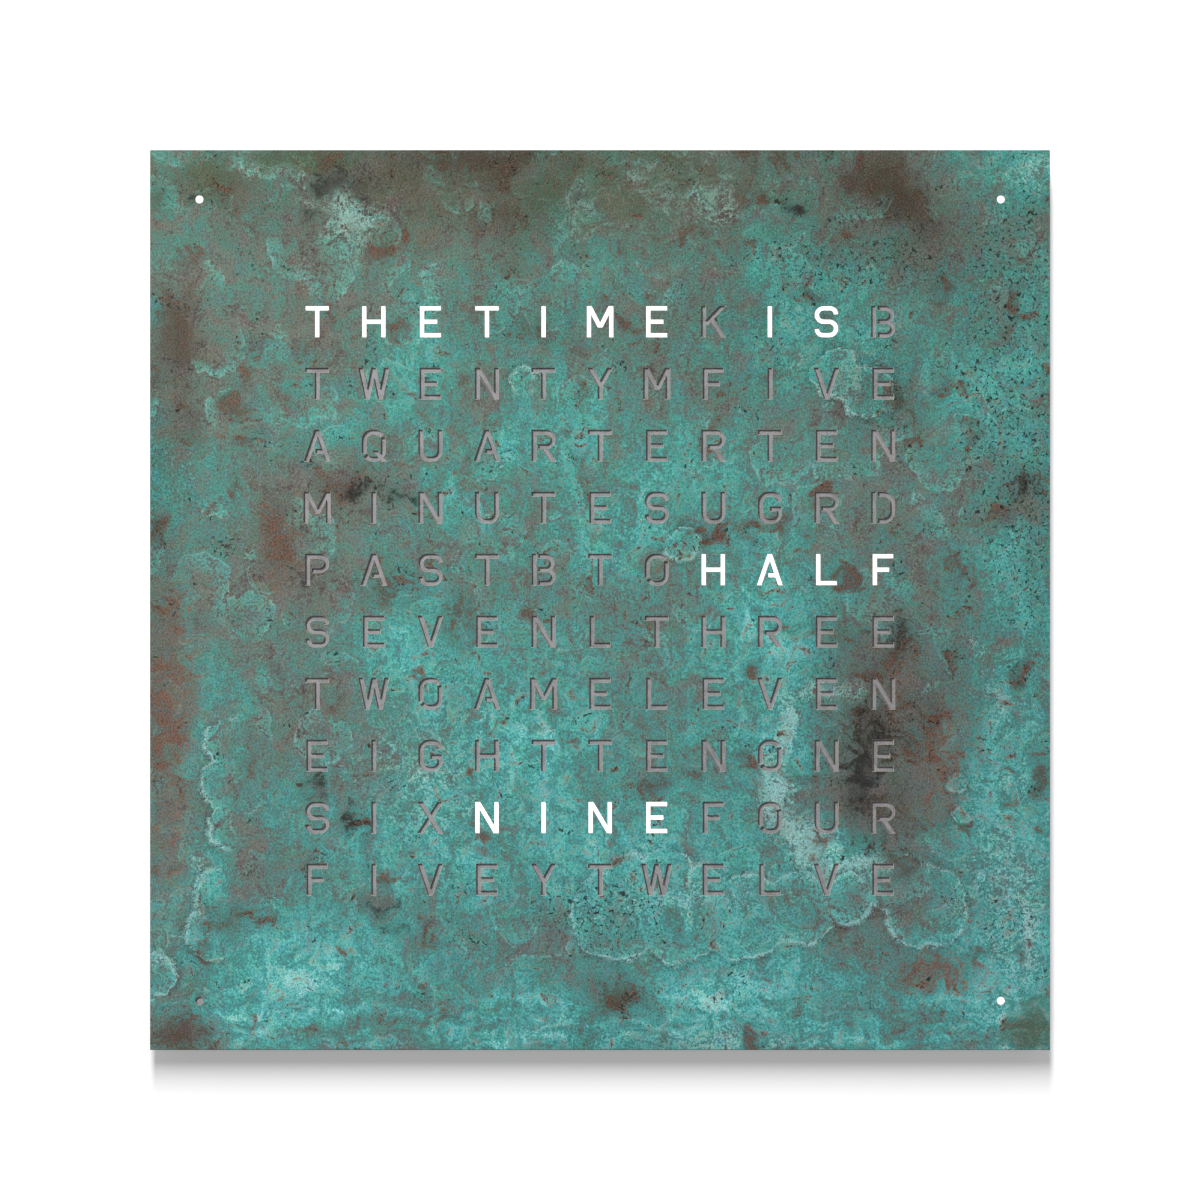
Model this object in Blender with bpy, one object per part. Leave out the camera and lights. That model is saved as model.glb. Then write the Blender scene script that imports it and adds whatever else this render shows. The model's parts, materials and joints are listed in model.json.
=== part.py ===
"""Wall word clock with a copper front plate on a shallow lacquered housing.

The origin is the centre of the rear panel's outer face. X points right, Z points up and the front
faces -Y. A depth is measured from the rear face towards the front, so a point at depth d lies at y = -d.
"""

import math

import bmesh
import bpy
from mathutils import Matrix, Vector

MM = 0.001

# Clearances shared by all pieces
SEAT_GAP = 0.3 * MM
OVERRUN = 1.0 * MM
FUSE_DEPTH = 0.4 * MM

# Front cover and what is bonded to its back
CLOCK_SIDE = 450 * MM
COVER_THICKNESS = 2.0 * MM
COVER_EDGE_BEVEL = 0.25 * MM
DOT_RADIUS = 1.9 * MM
DOT_INSET = 24.6 * MM
DIFFUSER_THICKNESS = 1.5 * MM
DIFFUSER_MARGIN = 1.5 * MM
KEEPER_END_INSET = 51 * MM
KEEPER_WIDTH = 8.0 * MM
KEEPER_THICKNESS = 1.0 * MM
KEEPER_CORNER = 2.0 * MM

# Housing rails
COVER_OVERHANG = 3.0 * MM
HOUSING_DEPTH = 15.6 * MM
RAIL_WIDTH = 12.0 * MM
RAIL_OUTER_WALL = 6.0 * MM
LEDGE_WIDTH = 4.0 * MM
RAIL_CHAMFER = 1.0 * MM
GROOVE_SIDE_CLEARANCE = 0.5 * MM

# Magnets
MAGNET_RADIUS = 4.0 * MM
MAGNET_THICKNESS = 3.0 * MM
MAGNET_END_INSET = 90 * MM

# Rear panel and its fixings
REAR_PANEL_THICKNESS = 3.0 * MM
SCREW_END_INSET = 26 * MM
SCREW_SHANK_RADIUS = 1.4 * MM
SCREW_HEAD_RADIUS = 3.0 * MM
SCREW_HEAD_THICKNESS = 1.5 * MM
SCREW_LENGTH = 9.5 * MM
SCREW_TIP_SHARE = 0.25
BUMPER_RADIUS = 5.0 * MM
BUMPER_STAND_OFF = 2.1 * MM
BUMPER_RECESS = 0.5 * MM
BUMPER_INSET = 21 * MM
BUMPER_CHAMFER = 0.6 * MM

# Keyhole hangers
HANGER_LENGTH = 60 * MM
HANGER_HEIGHT = 28 * MM
HANGER_THICKNESS = 1.2 * MM
HANGER_CORNER = 4.0 * MM
HANGER_SIDE_INSET = 96 * MM
HANGER_TOP_INSET = 31 * MM
KEYHOLE_RADIUS = 5.0 * MM
KEYHOLE_SLOT_RADIUS = 2.5 * MM
KEYHOLE_DROP = 4.5 * MM
KEYHOLE_TRAVEL = 9.0 * MM
WINDOW_MARGIN = 3.0 * MM
RIVET_FROM_MIDDLE = 23 * MM
RIVET_RADIUS = 1.5 * MM
RIVET_HEAD_RADIUS = 2.5 * MM
RIVET_HEAD_THICKNESS = 0.8 * MM

# Carrier panel, light grid and boards
CARRIER_THICKNESS = 2.0 * MM
COLUMNS = 11
ROWS = 10
LETTER_FIELD_SIDE_MARGIN = 68.75 * MM
LETTER_FIELD_TOP_MARGIN = 69.4 * MM
GRID_WALL = 1.2 * MM
GRID_DEPTH = 6.5 * MM
GRID_FLANGE_WIDTH = 6.0 * MM
GRID_FLANGE_THICKNESS = 2.0 * MM
BOARD_THICKNESS = 1.6 * MM
LED_WIDTH = 3.5 * MM
LED_HEIGHT = 2.8 * MM
LED_THICKNESS = 1.6 * MM
STAKE_BOSS_RADIUS = 2.2 * MM
STAKE_PIN_RADIUS = 1.0 * MM
STAKE_HEAD_RADIUS = 1.9 * MM
STAKE_HEAD_THICKNESS = 0.8 * MM
STAKE_INSET = 3.2 * MM

# Corner minute lights
CORNER_BOARD_SIDE = 16 * MM
CORNER_BOARD_MARGIN = 0.5 * MM
LIGHT_TUBE_RADIUS = 3.2 * MM
LIGHT_TUBE_WALL = 1.4 * MM
TAIL_WIDTH = 5.0 * MM

# Controller board
CONTROLLER_LENGTH = 100 * MM
CONTROLLER_GRID_GAP = 4.4 * MM
CONTROLLER_INLET_GAP = 20 * MM
CONTROLLER_LEDGE_GAP = 2.0 * MM
CONTROLLER_REAR_ROOM = 7.6 * MM
CELL_RADIUS = 10.0 * MM
CELL_THICKNESS = 3.2 * MM
HOLDER_WALL = 1.5 * MM
HOLDER_FLOOR = 0.6 * MM
HOLDER_RIM = 2.9 * MM
HOLDER_NOTCH_WIDTH = 7.0 * MM
HOLDER_SILL = 1.0 * MM
HOLDER_ALONG_SHARE = 0.26
HOLDER_UP_SHARE = 0.50
RIBBON_WIDTH = 16 * MM
RIBBON_THICKNESS = 0.8 * MM
RIBBON_OVERLAP = 8.0 * MM
RIBBON_ALONG_SHARE = 0.52
LEAD_RADIUS = 0.9 * MM
LEAD_SWEEP = 14 * MM
BUTTON_LEAD_SWEEP = 42 * MM
INLET_LEAD_SHARE = 0.7

# Shares of the controller board: centre along, centre up, width, height, then share of the rear room
CONTROLLER_PART_SHARES = {
    "processor": (0.70, 0.42, 0.11, 0.29, 0.22),
    "crystal": (0.82, 0.22, 0.09, 0.10, 0.45),
    "driver_a": (0.50, 0.22, 0.07, 0.21, 0.26),
    "driver_b": (0.60, 0.16, 0.07, 0.18, 0.26),
    "button_header": (0.955, 0.70, 0.09, 0.20, 0.62),
    "power_terminal": (0.955, 0.38, 0.09, 0.26, 0.80),
}
CAPACITOR_SHARES = ((0.82, 0.80), (0.70, 0.80))
CAPACITOR_RADIUS = 3.0 * MM
CAPACITOR_HEIGHT = 4.6 * MM

# Power inlet and the channel that the cable leaves by
INLET_WIDTH = 9.0 * MM
INLET_DEPTH = 7.8 * MM
INLET_LENGTH = 14 * MM
INLET_AXIS_DEPTH = 5.7 * MM
INLET_BORE_RADIUS = 3.15 * MM
INLET_BORE_LENGTH = 9.5 * MM
INLET_PIN_RADIUS = 1.05 * MM
INLET_PIN_LENGTH = 8.5 * MM
INLET_LEAD_ROOM = 7.4 * MM
WELL_WIDTH = 13.0 * MM
WELL_DEPTH = 10.0 * MM
WELL_WALL = 1.5 * MM

# Buttons, switches and the light sensor
BUTTON_NAMES = ("mode", "plus", "minus")
BUTTON_END_INSET = 56 * MM
BUTTON_PITCH = 15 * MM
BUTTON_DEPTH = 7.6 * MM
BUTTON_RADIUS = 3.0 * MM
BUTTON_PROUD = 0.8 * MM
BUTTON_EDGE = 0.4 * MM
BUTTON_FLANGE_RADIUS = 4.1 * MM
BUTTON_FLANGE_THICKNESS = 1.0 * MM
BUTTON_NOSE_RADIUS = 1.25 * MM
BUTTON_NOSE_LENGTH = 1.3 * MM
PLUNGER_RADIUS = 1.5 * MM
PLUNGER_LENGTH = 3.6 * MM
PLUNGER_SHOWS = 2.1 * MM
SWITCH_WIDTH = 6.0 * MM
SWITCH_LENGTH = 4.0 * MM
SWITCH_BORE_SPARE = 0.9 * MM
BUTTON_BOARD_HEIGHT = 15 * MM
BUTTON_BOARD_LIP = 1.0 * MM
POCKET_MARGIN = 10 * MM
POCKET_ROOF = 0.8 * MM
POCKET_END_CLEARANCE = 1.0 * MM
SENSOR_FROM_FIRST_BUTTON = 25 * MM
GUIDE_RADIUS = 1.5 * MM
GUIDE_LENGTH = 12 * MM
SENSOR_WIDTH = 4.0 * MM
SENSOR_LENGTH = 3.0 * MM
SENSOR_HEIGHT = 4.6 * MM
PLUG_WIDTH = 4.0 * MM
PLUG_HEIGHT = 8.0 * MM
PLUG_DEPTH = 3.4 * MM

# Facets round a circle, by how large the circle is, then along a round corner and along a lead
COARSE_COUNT = 8
MEDIUM_COUNT = 10
FINE_COUNT = 14
SMOOTH_COUNT = 24
CORNER_COUNT = 3
WIDE_CORNER_COUNT = 5
LEAD_COUNT = 9

DIAGONAL = math.sqrt(2)

# Depths of the layers, worked out from the front of the housing backwards
cover_back = HOUSING_DEPTH + SEAT_GAP
cover_front = cover_back + COVER_THICKNESS
diffuser_front = cover_back - SEAT_GAP
diffuser_back = diffuser_front - DIFFUSER_THICKNESS
carrier_front = diffuser_back - SEAT_GAP
carrier_back = carrier_front - CARRIER_THICKNESS
ledge_front = carrier_back - SEAT_GAP
ledge_rear = REAR_PANEL_THICKNESS + SEAT_GAP
grid_back = carrier_front - GRID_DEPTH
board_front = grid_back - SEAT_GAP
board_back = board_front - BOARD_THICKNESS
groove_floor = diffuser_front - KEEPER_THICKNESS - SEAT_GAP

# Distances of the rail's faces from the clock's centre
half_cover = CLOCK_SIDE / 2
rail_outer = half_cover - COVER_OVERHANG
rail_inner = rail_outer - RAIL_WIDTH
rebate_wall = rail_outer - RAIL_OUTER_WALL
ledge_inner = rail_inner - LEDGE_WIDTH
magnet_out = rebate_wall
screw_out = (rebate_wall + ledge_inner) / 2
dot_out = half_cover - DOT_INSET
keeper_length = 2 * (rebate_wall - KEEPER_END_INSET)
magnet_along = keeper_length / 2 - MAGNET_END_INSET
screw_along = rebate_wall - SCREW_END_INSET
bumper_out = rebate_wall - BUMPER_INSET
hanger_across = rebate_wall - HANGER_SIDE_INSET
hanger_level = rebate_wall - HANGER_TOP_INSET
last_button = rebate_wall - BUTTON_END_INSET
first_button = last_button - (len(BUTTON_NAMES) - 1) * BUTTON_PITCH
sensor_along = first_button - SENSOR_FROM_FIRST_BUTTON

# Light grid outline
grid_half_width = half_cover - LETTER_FIELD_SIDE_MARGIN
grid_half_height = half_cover - LETTER_FIELD_TOP_MARGIN
column_pitch = (2 * grid_half_width - GRID_WALL) / COLUMNS
row_pitch = (2 * grid_half_height - GRID_WALL) / ROWS
flange_half_width = grid_half_width + GRID_FLANGE_WIDTH
flange_half_height = grid_half_height + GRID_FLANGE_WIDTH

# What stands in the strip below the light grid
inlet_mouth = -flange_half_height - INLET_LEAD_ROOM - INLET_LENGTH
controller_low = CONTROLLER_LEDGE_GAP - ledge_inner
controller_high = -flange_half_height - CONTROLLER_GRID_GAP

# Sides and corners, clockwise from the front
SIDES = ("top", "right", "bottom", "left")
CORNERS = ("top_left", "top_right", "bottom_right", "bottom_left")


def finish(name, colour, roughness, metallic=0.0):
    """Return a Principled material of one plain colour."""
    material = bpy.data.materials.new(name)
    material.use_nodes = True
    shader = material.node_tree.nodes["Principled BSDF"]
    shader.inputs["Base Color"].default_value = (*colour, 1.0)
    shader.inputs["Roughness"].default_value = roughness
    shader.inputs["Metallic"].default_value = metallic
    material.diffuse_color = (*colour, 1.0)
    return material


def placed(axis, across, up, along):
    """Return the world point of a shape drawn square to an axis: depth, x or z."""
    if axis == "depth":
        return Vector((across, -along, up))
    if axis == "x":
        return Vector((along, -across, up))
    return Vector((across, -up, along))


def circle(across, up, radius, count=FINE_COUNT):
    """Return the points of a circle."""
    turns = [math.tau * (k + 0.5) / count for k in range(count)]
    return [(across + radius * math.cos(a), up + radius * math.sin(a)) for a in turns]


def rectangle(left, right, low, high):
    """Return the corners of a rectangle."""
    return [(left, low), (right, low), (right, high), (left, high)]


def centred(across, up, width, height):
    """Return the corners of a rectangle round its centre."""
    return rectangle(across - width / 2, across + width / 2, up - height / 2, up + height / 2)


def rounded(across, up, width, height, radius, count=CORNER_COUNT):
    """Return a rectangle with round corners, each of count segments."""
    points = []
    for quarter, (side_x, side_z) in enumerate(((1, 1), (-1, 1), (-1, -1), (1, -1))):
        centre_x = across + side_x * (width / 2 - radius)
        centre_z = up + side_z * (height / 2 - radius)
        for k in range(count + 1):
            angle = math.radians(90) * (quarter + k / count)
            points.append((centre_x + radius * math.cos(angle), centre_z + radius * math.sin(angle)))
    return points


def keyhole(across, up, radius, slot_radius, travel, count=SMOOTH_COUNT):
    """Return a keyhole: an entry circle with a narrower slot that runs upwards from it."""
    meet = math.asin(slot_radius / radius)
    first = math.radians(90) + meet
    sweep = math.tau - 2 * meet
    points = []
    for k in range(count + 1):
        angle = first + sweep * k / count
        points.append((across + radius * math.cos(angle), up + radius * math.sin(angle)))
    for k in range(count // 2 + 1):
        angle = math.pi * k / (count // 2)
        rise = travel + slot_radius * math.sin(angle)
        points.append((across + slot_radius * math.cos(angle), up + rise))
    return points


def extrude_outline(mesh, axis, outline, start, end):
    """Extrude a flat outline into a closed solid."""
    corners = [mesh.verts.new(placed(axis, across, up, start)) for across, up in outline]
    face = mesh.faces.new(corners)
    grown = bmesh.ops.extrude_face_region(mesh, geom=[face], use_keep_orig=True)
    new_corners = [item for item in grown["geom"] if isinstance(item, bmesh.types.BMVert)]
    bmesh.ops.translate(mesh, verts=new_corners, vec=placed(axis, 0, 0, end - start))


def turn_profile(mesh, axis, centre, profile, count=FINE_COUNT):
    """Turn a profile of (radius, along) points into a closed solid of revolution."""
    rings = []
    for radius, along in profile:
        outline = circle(centre[0], centre[1], radius, count)
        rings.append([mesh.verts.new(placed(axis, across, up, along)) for across, up in outline])
    for lower, upper in zip(rings, rings[1:]):
        for k in range(count):
            after = (k + 1) % count
            mesh.faces.new((lower[k], lower[after], upper[after], upper[k]))
    mesh.faces.new(rings[0])
    mesh.faces.new(rings[-1])


def mesh_of(name, build):
    """Return mesh data filled by a building function, with its faces turned outwards."""
    mesh = bmesh.new()
    build(mesh)
    bmesh.ops.recalc_face_normals(mesh, faces=mesh.faces)
    data = bpy.data.meshes.new(name)
    mesh.to_mesh(data)
    mesh.free()
    return data


class Piece:
    """One sub-part: an object, its material and the shapes cut from or fused to it."""

    def __init__(self, name, build, material, body, origin=None, round_shape=False):
        origin = origin or Vector((0, 0, 0))
        self.name = name
        self.origin = origin
        self.helpers = 0
        data = mesh_of(name, build)
        data.transform(Matrix.Translation(-origin))
        if round_shape:
            data.shade_smooth()
            data.set_sharp_from_angle(angle=math.radians(35))
        self.object = bpy.data.objects.new(name, data)
        self.object.data.materials.append(material)
        bpy.context.scene.collection.objects.link(self.object)
        self.object.parent = body
        self.object.location = origin - body.location

    def helper(self, build, operation):
        """Add a Boolean with a hidden shape that stands where the piece does."""
        self.helpers += 1
        name = f"{self.name}_{operation.lower()}_{self.helpers}"
        data = mesh_of(name, build)
        data.transform(Matrix.Translation(-self.origin))
        shape = bpy.data.objects.new(name, data)
        shape.hide_render = True
        shape.display_type = "WIRE"
        bpy.context.scene.collection.objects.link(shape)
        shape.parent = self.object
        modifier = self.object.modifiers.new(name, "BOOLEAN")
        modifier.object = shape
        modifier.operation = operation
        modifier.solver = "EXACT"
        return self

    def cut(self, build):
        """Cut a shape away."""
        return self.helper(build, "DIFFERENCE")

    def fuse(self, build):
        """Join a shape on."""
        return self.helper(build, "UNION")

    def turn(self, quarters):
        """Turn the piece about the depth axis by quarter turns, clockwise from the front."""
        self.object.rotation_euler = (0, math.radians(90) * quarters, 0)
        return self


def on_side(side, along, out):
    """Return the place of a point drawn on the top rail once it is turned to another side."""
    turned_places = ((along, out), (out, -along), (-along, -out), (-out, along))
    return turned_places[SIDES.index(side)]


def corner_signs(corner):
    """Return the signs of x and z at a corner."""
    return (-1 if corner.endswith("left") else 1, 1 if corner.startswith("top") else -1)


def corner_places(out):
    """Return the four places that lie this far out both ways."""
    return [(out * sign_x, out * sign_z) for sign_x, sign_z in map(corner_signs, CORNERS)]


def body_empty(name, location):
    """Return the empty that carries the pieces of one body."""
    empty = bpy.data.objects.new(name, None)
    empty.location = location
    bpy.context.scene.collection.objects.link(empty)
    return empty


def slab(outline, back, front, axis="depth"):
    """Return a builder for one extruded outline."""
    return lambda mesh: extrude_outline(mesh, axis, outline, back, front)


def slabs(outlines, back, front, axis="depth"):
    """Return a builder for several separate outlines extruded alike."""

    def build(mesh):
        for outline in outlines:
            extrude_outline(mesh, axis, outline, back, front)

    return build


def turned(centre, profile, count=FINE_COUNT, axis="depth"):
    """Return a builder for one solid of revolution."""
    return lambda mesh: turn_profile(mesh, axis, centre, profile, count)


def turned_row(centres, profile, count=FINE_COUNT, axis="depth"):
    """Return a builder for one solid of revolution at each of several places."""

    def build(mesh):
        for centre in centres:
            turn_profile(mesh, axis, centre, profile, count)

    return build


def stake_profile(root, seat, back):
    """Return a heat stake: boss from root to the board, pin through it and the swaged head behind."""
    head_front = back - SEAT_GAP
    head_back = head_front - STAKE_HEAD_THICKNESS
    return [
        (STAKE_HEAD_RADIUS, head_back),
        (STAKE_HEAD_RADIUS, head_front),
        (STAKE_PIN_RADIUS, head_front),
        (STAKE_PIN_RADIUS, seat + SEAT_GAP),
        (STAKE_BOSS_RADIUS, seat + SEAT_GAP),
        (STAKE_BOSS_RADIUS, root),
    ]


def stake_holes(centres, back, front):
    """Return a builder for the holes that stakes pass through."""
    outlines = [circle(x, z, STAKE_PIN_RADIUS + SEAT_GAP, COARSE_COUNT) for x, z in centres]
    return slabs(outlines, back - OVERRUN, front + OVERRUN)


def corner_stakes(corner):
    """Return the two stake places of a corner light board."""
    sign_x, sign_z = corner_signs(corner)
    outer = ledge_inner - CORNER_BOARD_MARGIN
    near = outer - STAKE_INSET
    far = outer - CORNER_BOARD_SIDE + STAKE_INSET
    return [(sign_x * far, sign_z * near), (sign_x * near, sign_z * far)]


def led_board_stakes():
    """Return the places of the stakes that hold the main light board to the grid."""
    side = (grid_half_width + flange_half_width) / 2
    level = (grid_half_height + flange_half_height) / 2
    row = column_pitch * (COLUMNS // 2 - 1)
    rows = [(sign_x * row, sign_z * level) for sign_x in (-1, 1) for sign_z in (-1, 1)]
    return rows + [(-side, 0), (side, 0)]


def controller_area():
    """Return the left, right, low and high edges of the controller board."""
    right = -INLET_WIDTH / 2 - CONTROLLER_INLET_GAP
    return (right - CONTROLLER_LENGTH, right, controller_low, controller_high)


def controller_point(along_share, up_share):
    """Return the place on the controller board at the given shares of its length and height."""
    left, right, low, high = controller_area()
    return (left + (right - left) * along_share, low + (high - low) * up_share)


def controller_stakes():
    """Return the stake places at the controller board's corners."""
    left, right, low, high = controller_area()
    return [
        (x, z)
        for x in (left + STAKE_INSET, right - STAKE_INSET)
        for z in (low + STAKE_INSET, high - STAKE_INSET)
    ]


def button_places():
    """Return the x of each button, in the order of their names."""
    return [first_button + k * BUTTON_PITCH for k in range(len(BUTTON_NAMES))]


def pocket_span():
    """Return the left and right ends of the pocket behind the buttons."""
    return (sensor_along - POCKET_MARGIN, last_button + POCKET_MARGIN)


def button_board_area():
    """Return the left, right, low and high edges of the button board."""
    left, right = pocket_span()
    low = switch_mouth() - BUTTON_BOARD_LIP
    return (left + POCKET_END_CLEARANCE, right - POCKET_END_CLEARANCE, low, low + BUTTON_BOARD_HEIGHT)


def switch_mouth():
    """Return the level of the face that the switch plungers come out of."""
    flange_top = -rebate_wall + SEAT_GAP + BUTTON_FLANGE_THICKNESS
    return flange_top + BUTTON_NOSE_LENGTH + SEAT_GAP + PLUNGER_SHOWS


def button_board_stakes():
    """Return the stake places of the button board."""
    left, right, low, high = button_board_area()
    beside_plug = button_plug_area()[1] + SEAT_GAP + STAKE_HEAD_RADIUS
    return [(x, high - STAKE_INSET) for x in (beside_plug, right - STAKE_INSET)]


def build_cover(body):
    """Front cover, diffuser sheet and the four steel keepers."""
    copper = finish("copper_patina", (0.12, 0.27, 0.22), 0.75, 0.35)
    opal = finish("opal_sheet", (0.80, 0.78, 0.76), 0.55)
    steel = finish("keeper_steel", (0.55, 0.56, 0.58), 0.35, 1.0)
    front = Piece(
        "front_cover",
        slab(centred(0, 0, CLOCK_SIDE, CLOCK_SIDE), cover_back, cover_front),
        copper,
        body,
        origin=body.location.copy(),
    )
    bevel = front.object.modifiers.new("edge", "BEVEL")
    bevel.width = COVER_EDGE_BEVEL
    bevel.segments = 1
    dots = [circle(*place, DOT_RADIUS) for place in corner_places(dot_out)]
    front.cut(slabs(dots, cover_back - OVERRUN, cover_front + OVERRUN))

    sheet_side = 2 * (rail_inner - DIFFUSER_MARGIN)
    sheet = rounded(0, 0, sheet_side, sheet_side, KEEPER_CORNER)
    Piece("letter_diffuser", slab(sheet, diffuser_back, diffuser_front), opal, body)

    for quarter, side in enumerate(SIDES):
        strip = rounded(0, magnet_out, keeper_length, KEEPER_WIDTH, KEEPER_CORNER)
        keeper = Piece(
            f"keeper_strip_{side}",
            slab(strip, diffuser_front - KEEPER_THICKNESS, diffuser_front),
            steel,
            body,
            origin=Vector((0, body.location.y, 0)),
        )
        keeper.turn(quarter)


def rail_section(mesh):
    """Build the top rail: its section swept between two mitred ends."""
    chamfer = RAIL_CHAMFER
    section = [
        (rebate_wall, 0),
        (rail_outer - chamfer, 0),
        (rail_outer, chamfer),
        (rail_outer, HOUSING_DEPTH - chamfer),
        (rail_outer - chamfer, HOUSING_DEPTH),
        (rail_inner, HOUSING_DEPTH),
        (rail_inner, ledge_front),
        (ledge_inner, ledge_front),
        (ledge_inner, ledge_rear),
        (rebate_wall, ledge_rear),
    ]
    mitre_back_off = SEAT_GAP / DIAGONAL
    ends = []
    for sign in (-1, 1):
        points = [(sign * (out - mitre_back_off), -depth, out) for out, depth in section]
        ends.append([mesh.verts.new(point) for point in points])
    for end in ends:
        mesh.faces.new(end)
    bmesh.ops.bridge_loops(mesh, edges=[edge for edge in mesh.edges])


def build_rails(body):
    """The four mitred rails, their grooves, magnet seats and pilot holes, and the bottom rail's openings."""
    lacquer = finish("black_lacquer", (0.018, 0.018, 0.02), 0.35)
    groove = rounded(
        0,
        magnet_out,
        keeper_length + 2 * GROOVE_SIDE_CLEARANCE,
        KEEPER_WIDTH + 2 * GROOVE_SIDE_CLEARANCE,
        KEEPER_CORNER,
    )
    seat_floor = groove_floor - SEAT_GAP - MAGNET_THICKNESS - SEAT_GAP
    seats = [circle(sign * magnet_along, magnet_out, MAGNET_RADIUS + SEAT_GAP) for sign in (-1, 1)]
    pilot = SCREW_SHANK_RADIUS + SEAT_GAP
    pilots = [circle(sign * screw_along, screw_out, pilot, COARSE_COUNT) for sign in (-1, 1)]
    for quarter, side in enumerate(SIDES):
        rail = Piece(f"rail_{side}", rail_section, lacquer, body).turn(quarter)
        rail.cut(slab(groove, groove_floor, HOUSING_DEPTH + OVERRUN))
        rail.cut(slabs(seats, seat_floor, HOUSING_DEPTH + OVERRUN))
        rail.cut(slabs(pilots, ledge_rear - OVERRUN, SCREW_LENGTH + SEAT_GAP))
        if side == "bottom":
            cut_bottom_rail(rail)


def cut_bottom_rail(rail):
    """Cut the cable notch, the button pocket and the holes below it, as drawn on the top rail."""
    well_half = WELL_WIDTH / 2 + WELL_WALL + SEAT_GAP
    notch = rectangle(-well_half, well_half, ledge_inner - OVERRUN, rail_outer + OVERRUN)
    rail.cut(slab(notch, -OVERRUN, WELL_DEPTH + WELL_WALL + SEAT_GAP))
    left, right = pocket_span()
    pocket = rectangle(-right, -left, ledge_inner - OVERRUN, rebate_wall)
    rail.cut(slab(pocket, ledge_rear, ledge_front + POCKET_ROOF))
    holes = [circle(-x, BUTTON_DEPTH, BUTTON_RADIUS + SEAT_GAP) for x in button_places()]
    holes.append(circle(-sensor_along, BUTTON_DEPTH, GUIDE_RADIUS + SEAT_GAP, COARSE_COUNT))
    rail.cut(slabs(holes, rebate_wall - OVERRUN, rail_outer + OVERRUN, axis="z"))


def build_magnets(body):
    """Two disc magnets in each rail, under the steel keepers."""
    nickel = finish("magnet_nickel", (0.70, 0.70, 0.68), 0.2, 1.0)
    top = groove_floor - SEAT_GAP
    profile = [(MAGNET_RADIUS, top - MAGNET_THICKNESS), (MAGNET_RADIUS, top)]
    for side in SIDES:
        for number, sign in enumerate((-1, 1), start=1):
            centre = on_side(side, sign * magnet_along, magnet_out)
            name = f"magnet_{side}_{number}"
            origin = placed("depth", *centre, top)
            Piece(name, turned(centre, profile), nickel, body, origin=origin, round_shape=True)


def build_carrier(body):
    """Carrier panel: the plate that holds the grid, the boards and the corner light tubes."""
    plastic = finish("carrier_plastic", (0.05, 0.05, 0.055), 0.5)
    half = rail_inner - SEAT_GAP
    sheet = slab(centred(0, 0, 2 * half, 2 * half), carrier_back, carrier_front)
    panel = Piece("carrier_panel", sheet, plastic, body)
    window = centred(0, 0, 2 * (grid_half_width + SEAT_GAP), 2 * (grid_half_height + SEAT_GAP))
    panel.cut(slab(window, carrier_back - OVERRUN, carrier_front + OVERRUN))

    outer = LIGHT_TUBE_RADIUS + LIGHT_TUBE_WALL
    root = carrier_back + FUSE_DEPTH
    panel.fuse(turned_row(corner_places(dot_out), [(outer, grid_back), (outer, root)]))
    bores = [circle(*place, LIGHT_TUBE_RADIUS) for place in corner_places(dot_out)]
    panel.cut(slabs(bores, grid_back - OVERRUN, carrier_front + OVERRUN))

    corner_rows = [place for corner in CORNERS for place in corner_stakes(corner)]
    rows = (
        (corner_rows, board_front, board_back),
        (controller_stakes(), CONTROLLER_REAR_ROOM + BOARD_THICKNESS, CONTROLLER_REAR_ROOM),
        (button_board_stakes(), carrier_back - SEAT_GAP, ledge_front - BOARD_THICKNESS),
    )
    for centres, seat, back in rows:
        panel.fuse(turned_row(centres, stake_profile(root, seat, back), COARSE_COUNT))


def lattice(mesh):
    """Build the walls of the light grid from a sheet whose cell faces are left out."""
    half_wall = GRID_WALL / 2
    faces = (-half_wall, half_wall)
    lines_x = [(k - COLUMNS / 2) * column_pitch + face for k in range(COLUMNS + 1) for face in faces]
    lines_z = [(k - ROWS / 2) * row_pitch + face for k in range(ROWS + 1) for face in faces]
    knots = [[mesh.verts.new(placed("depth", x, z, grid_back)) for x in lines_x] for z in lines_z]
    walls = []
    for row in range(len(lines_z) - 1):
        for column in range(len(lines_x) - 1):
            if row % 2 == 1 and column % 2 == 1:
                continue
            low_left, low_right = knots[row][column : column + 2]
            high_left, high_right = knots[row + 1][column : column + 2]
            walls.append(mesh.faces.new((low_left, low_right, high_right, high_left)))
    grown = bmesh.ops.extrude_face_region(mesh, geom=walls, use_keep_orig=True)
    new_corners = [item for item in grown["geom"] if isinstance(item, bmesh.types.BMVert)]
    bmesh.ops.translate(mesh, verts=new_corners, vec=placed("depth", 0, 0, carrier_front - grid_back))


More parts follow.
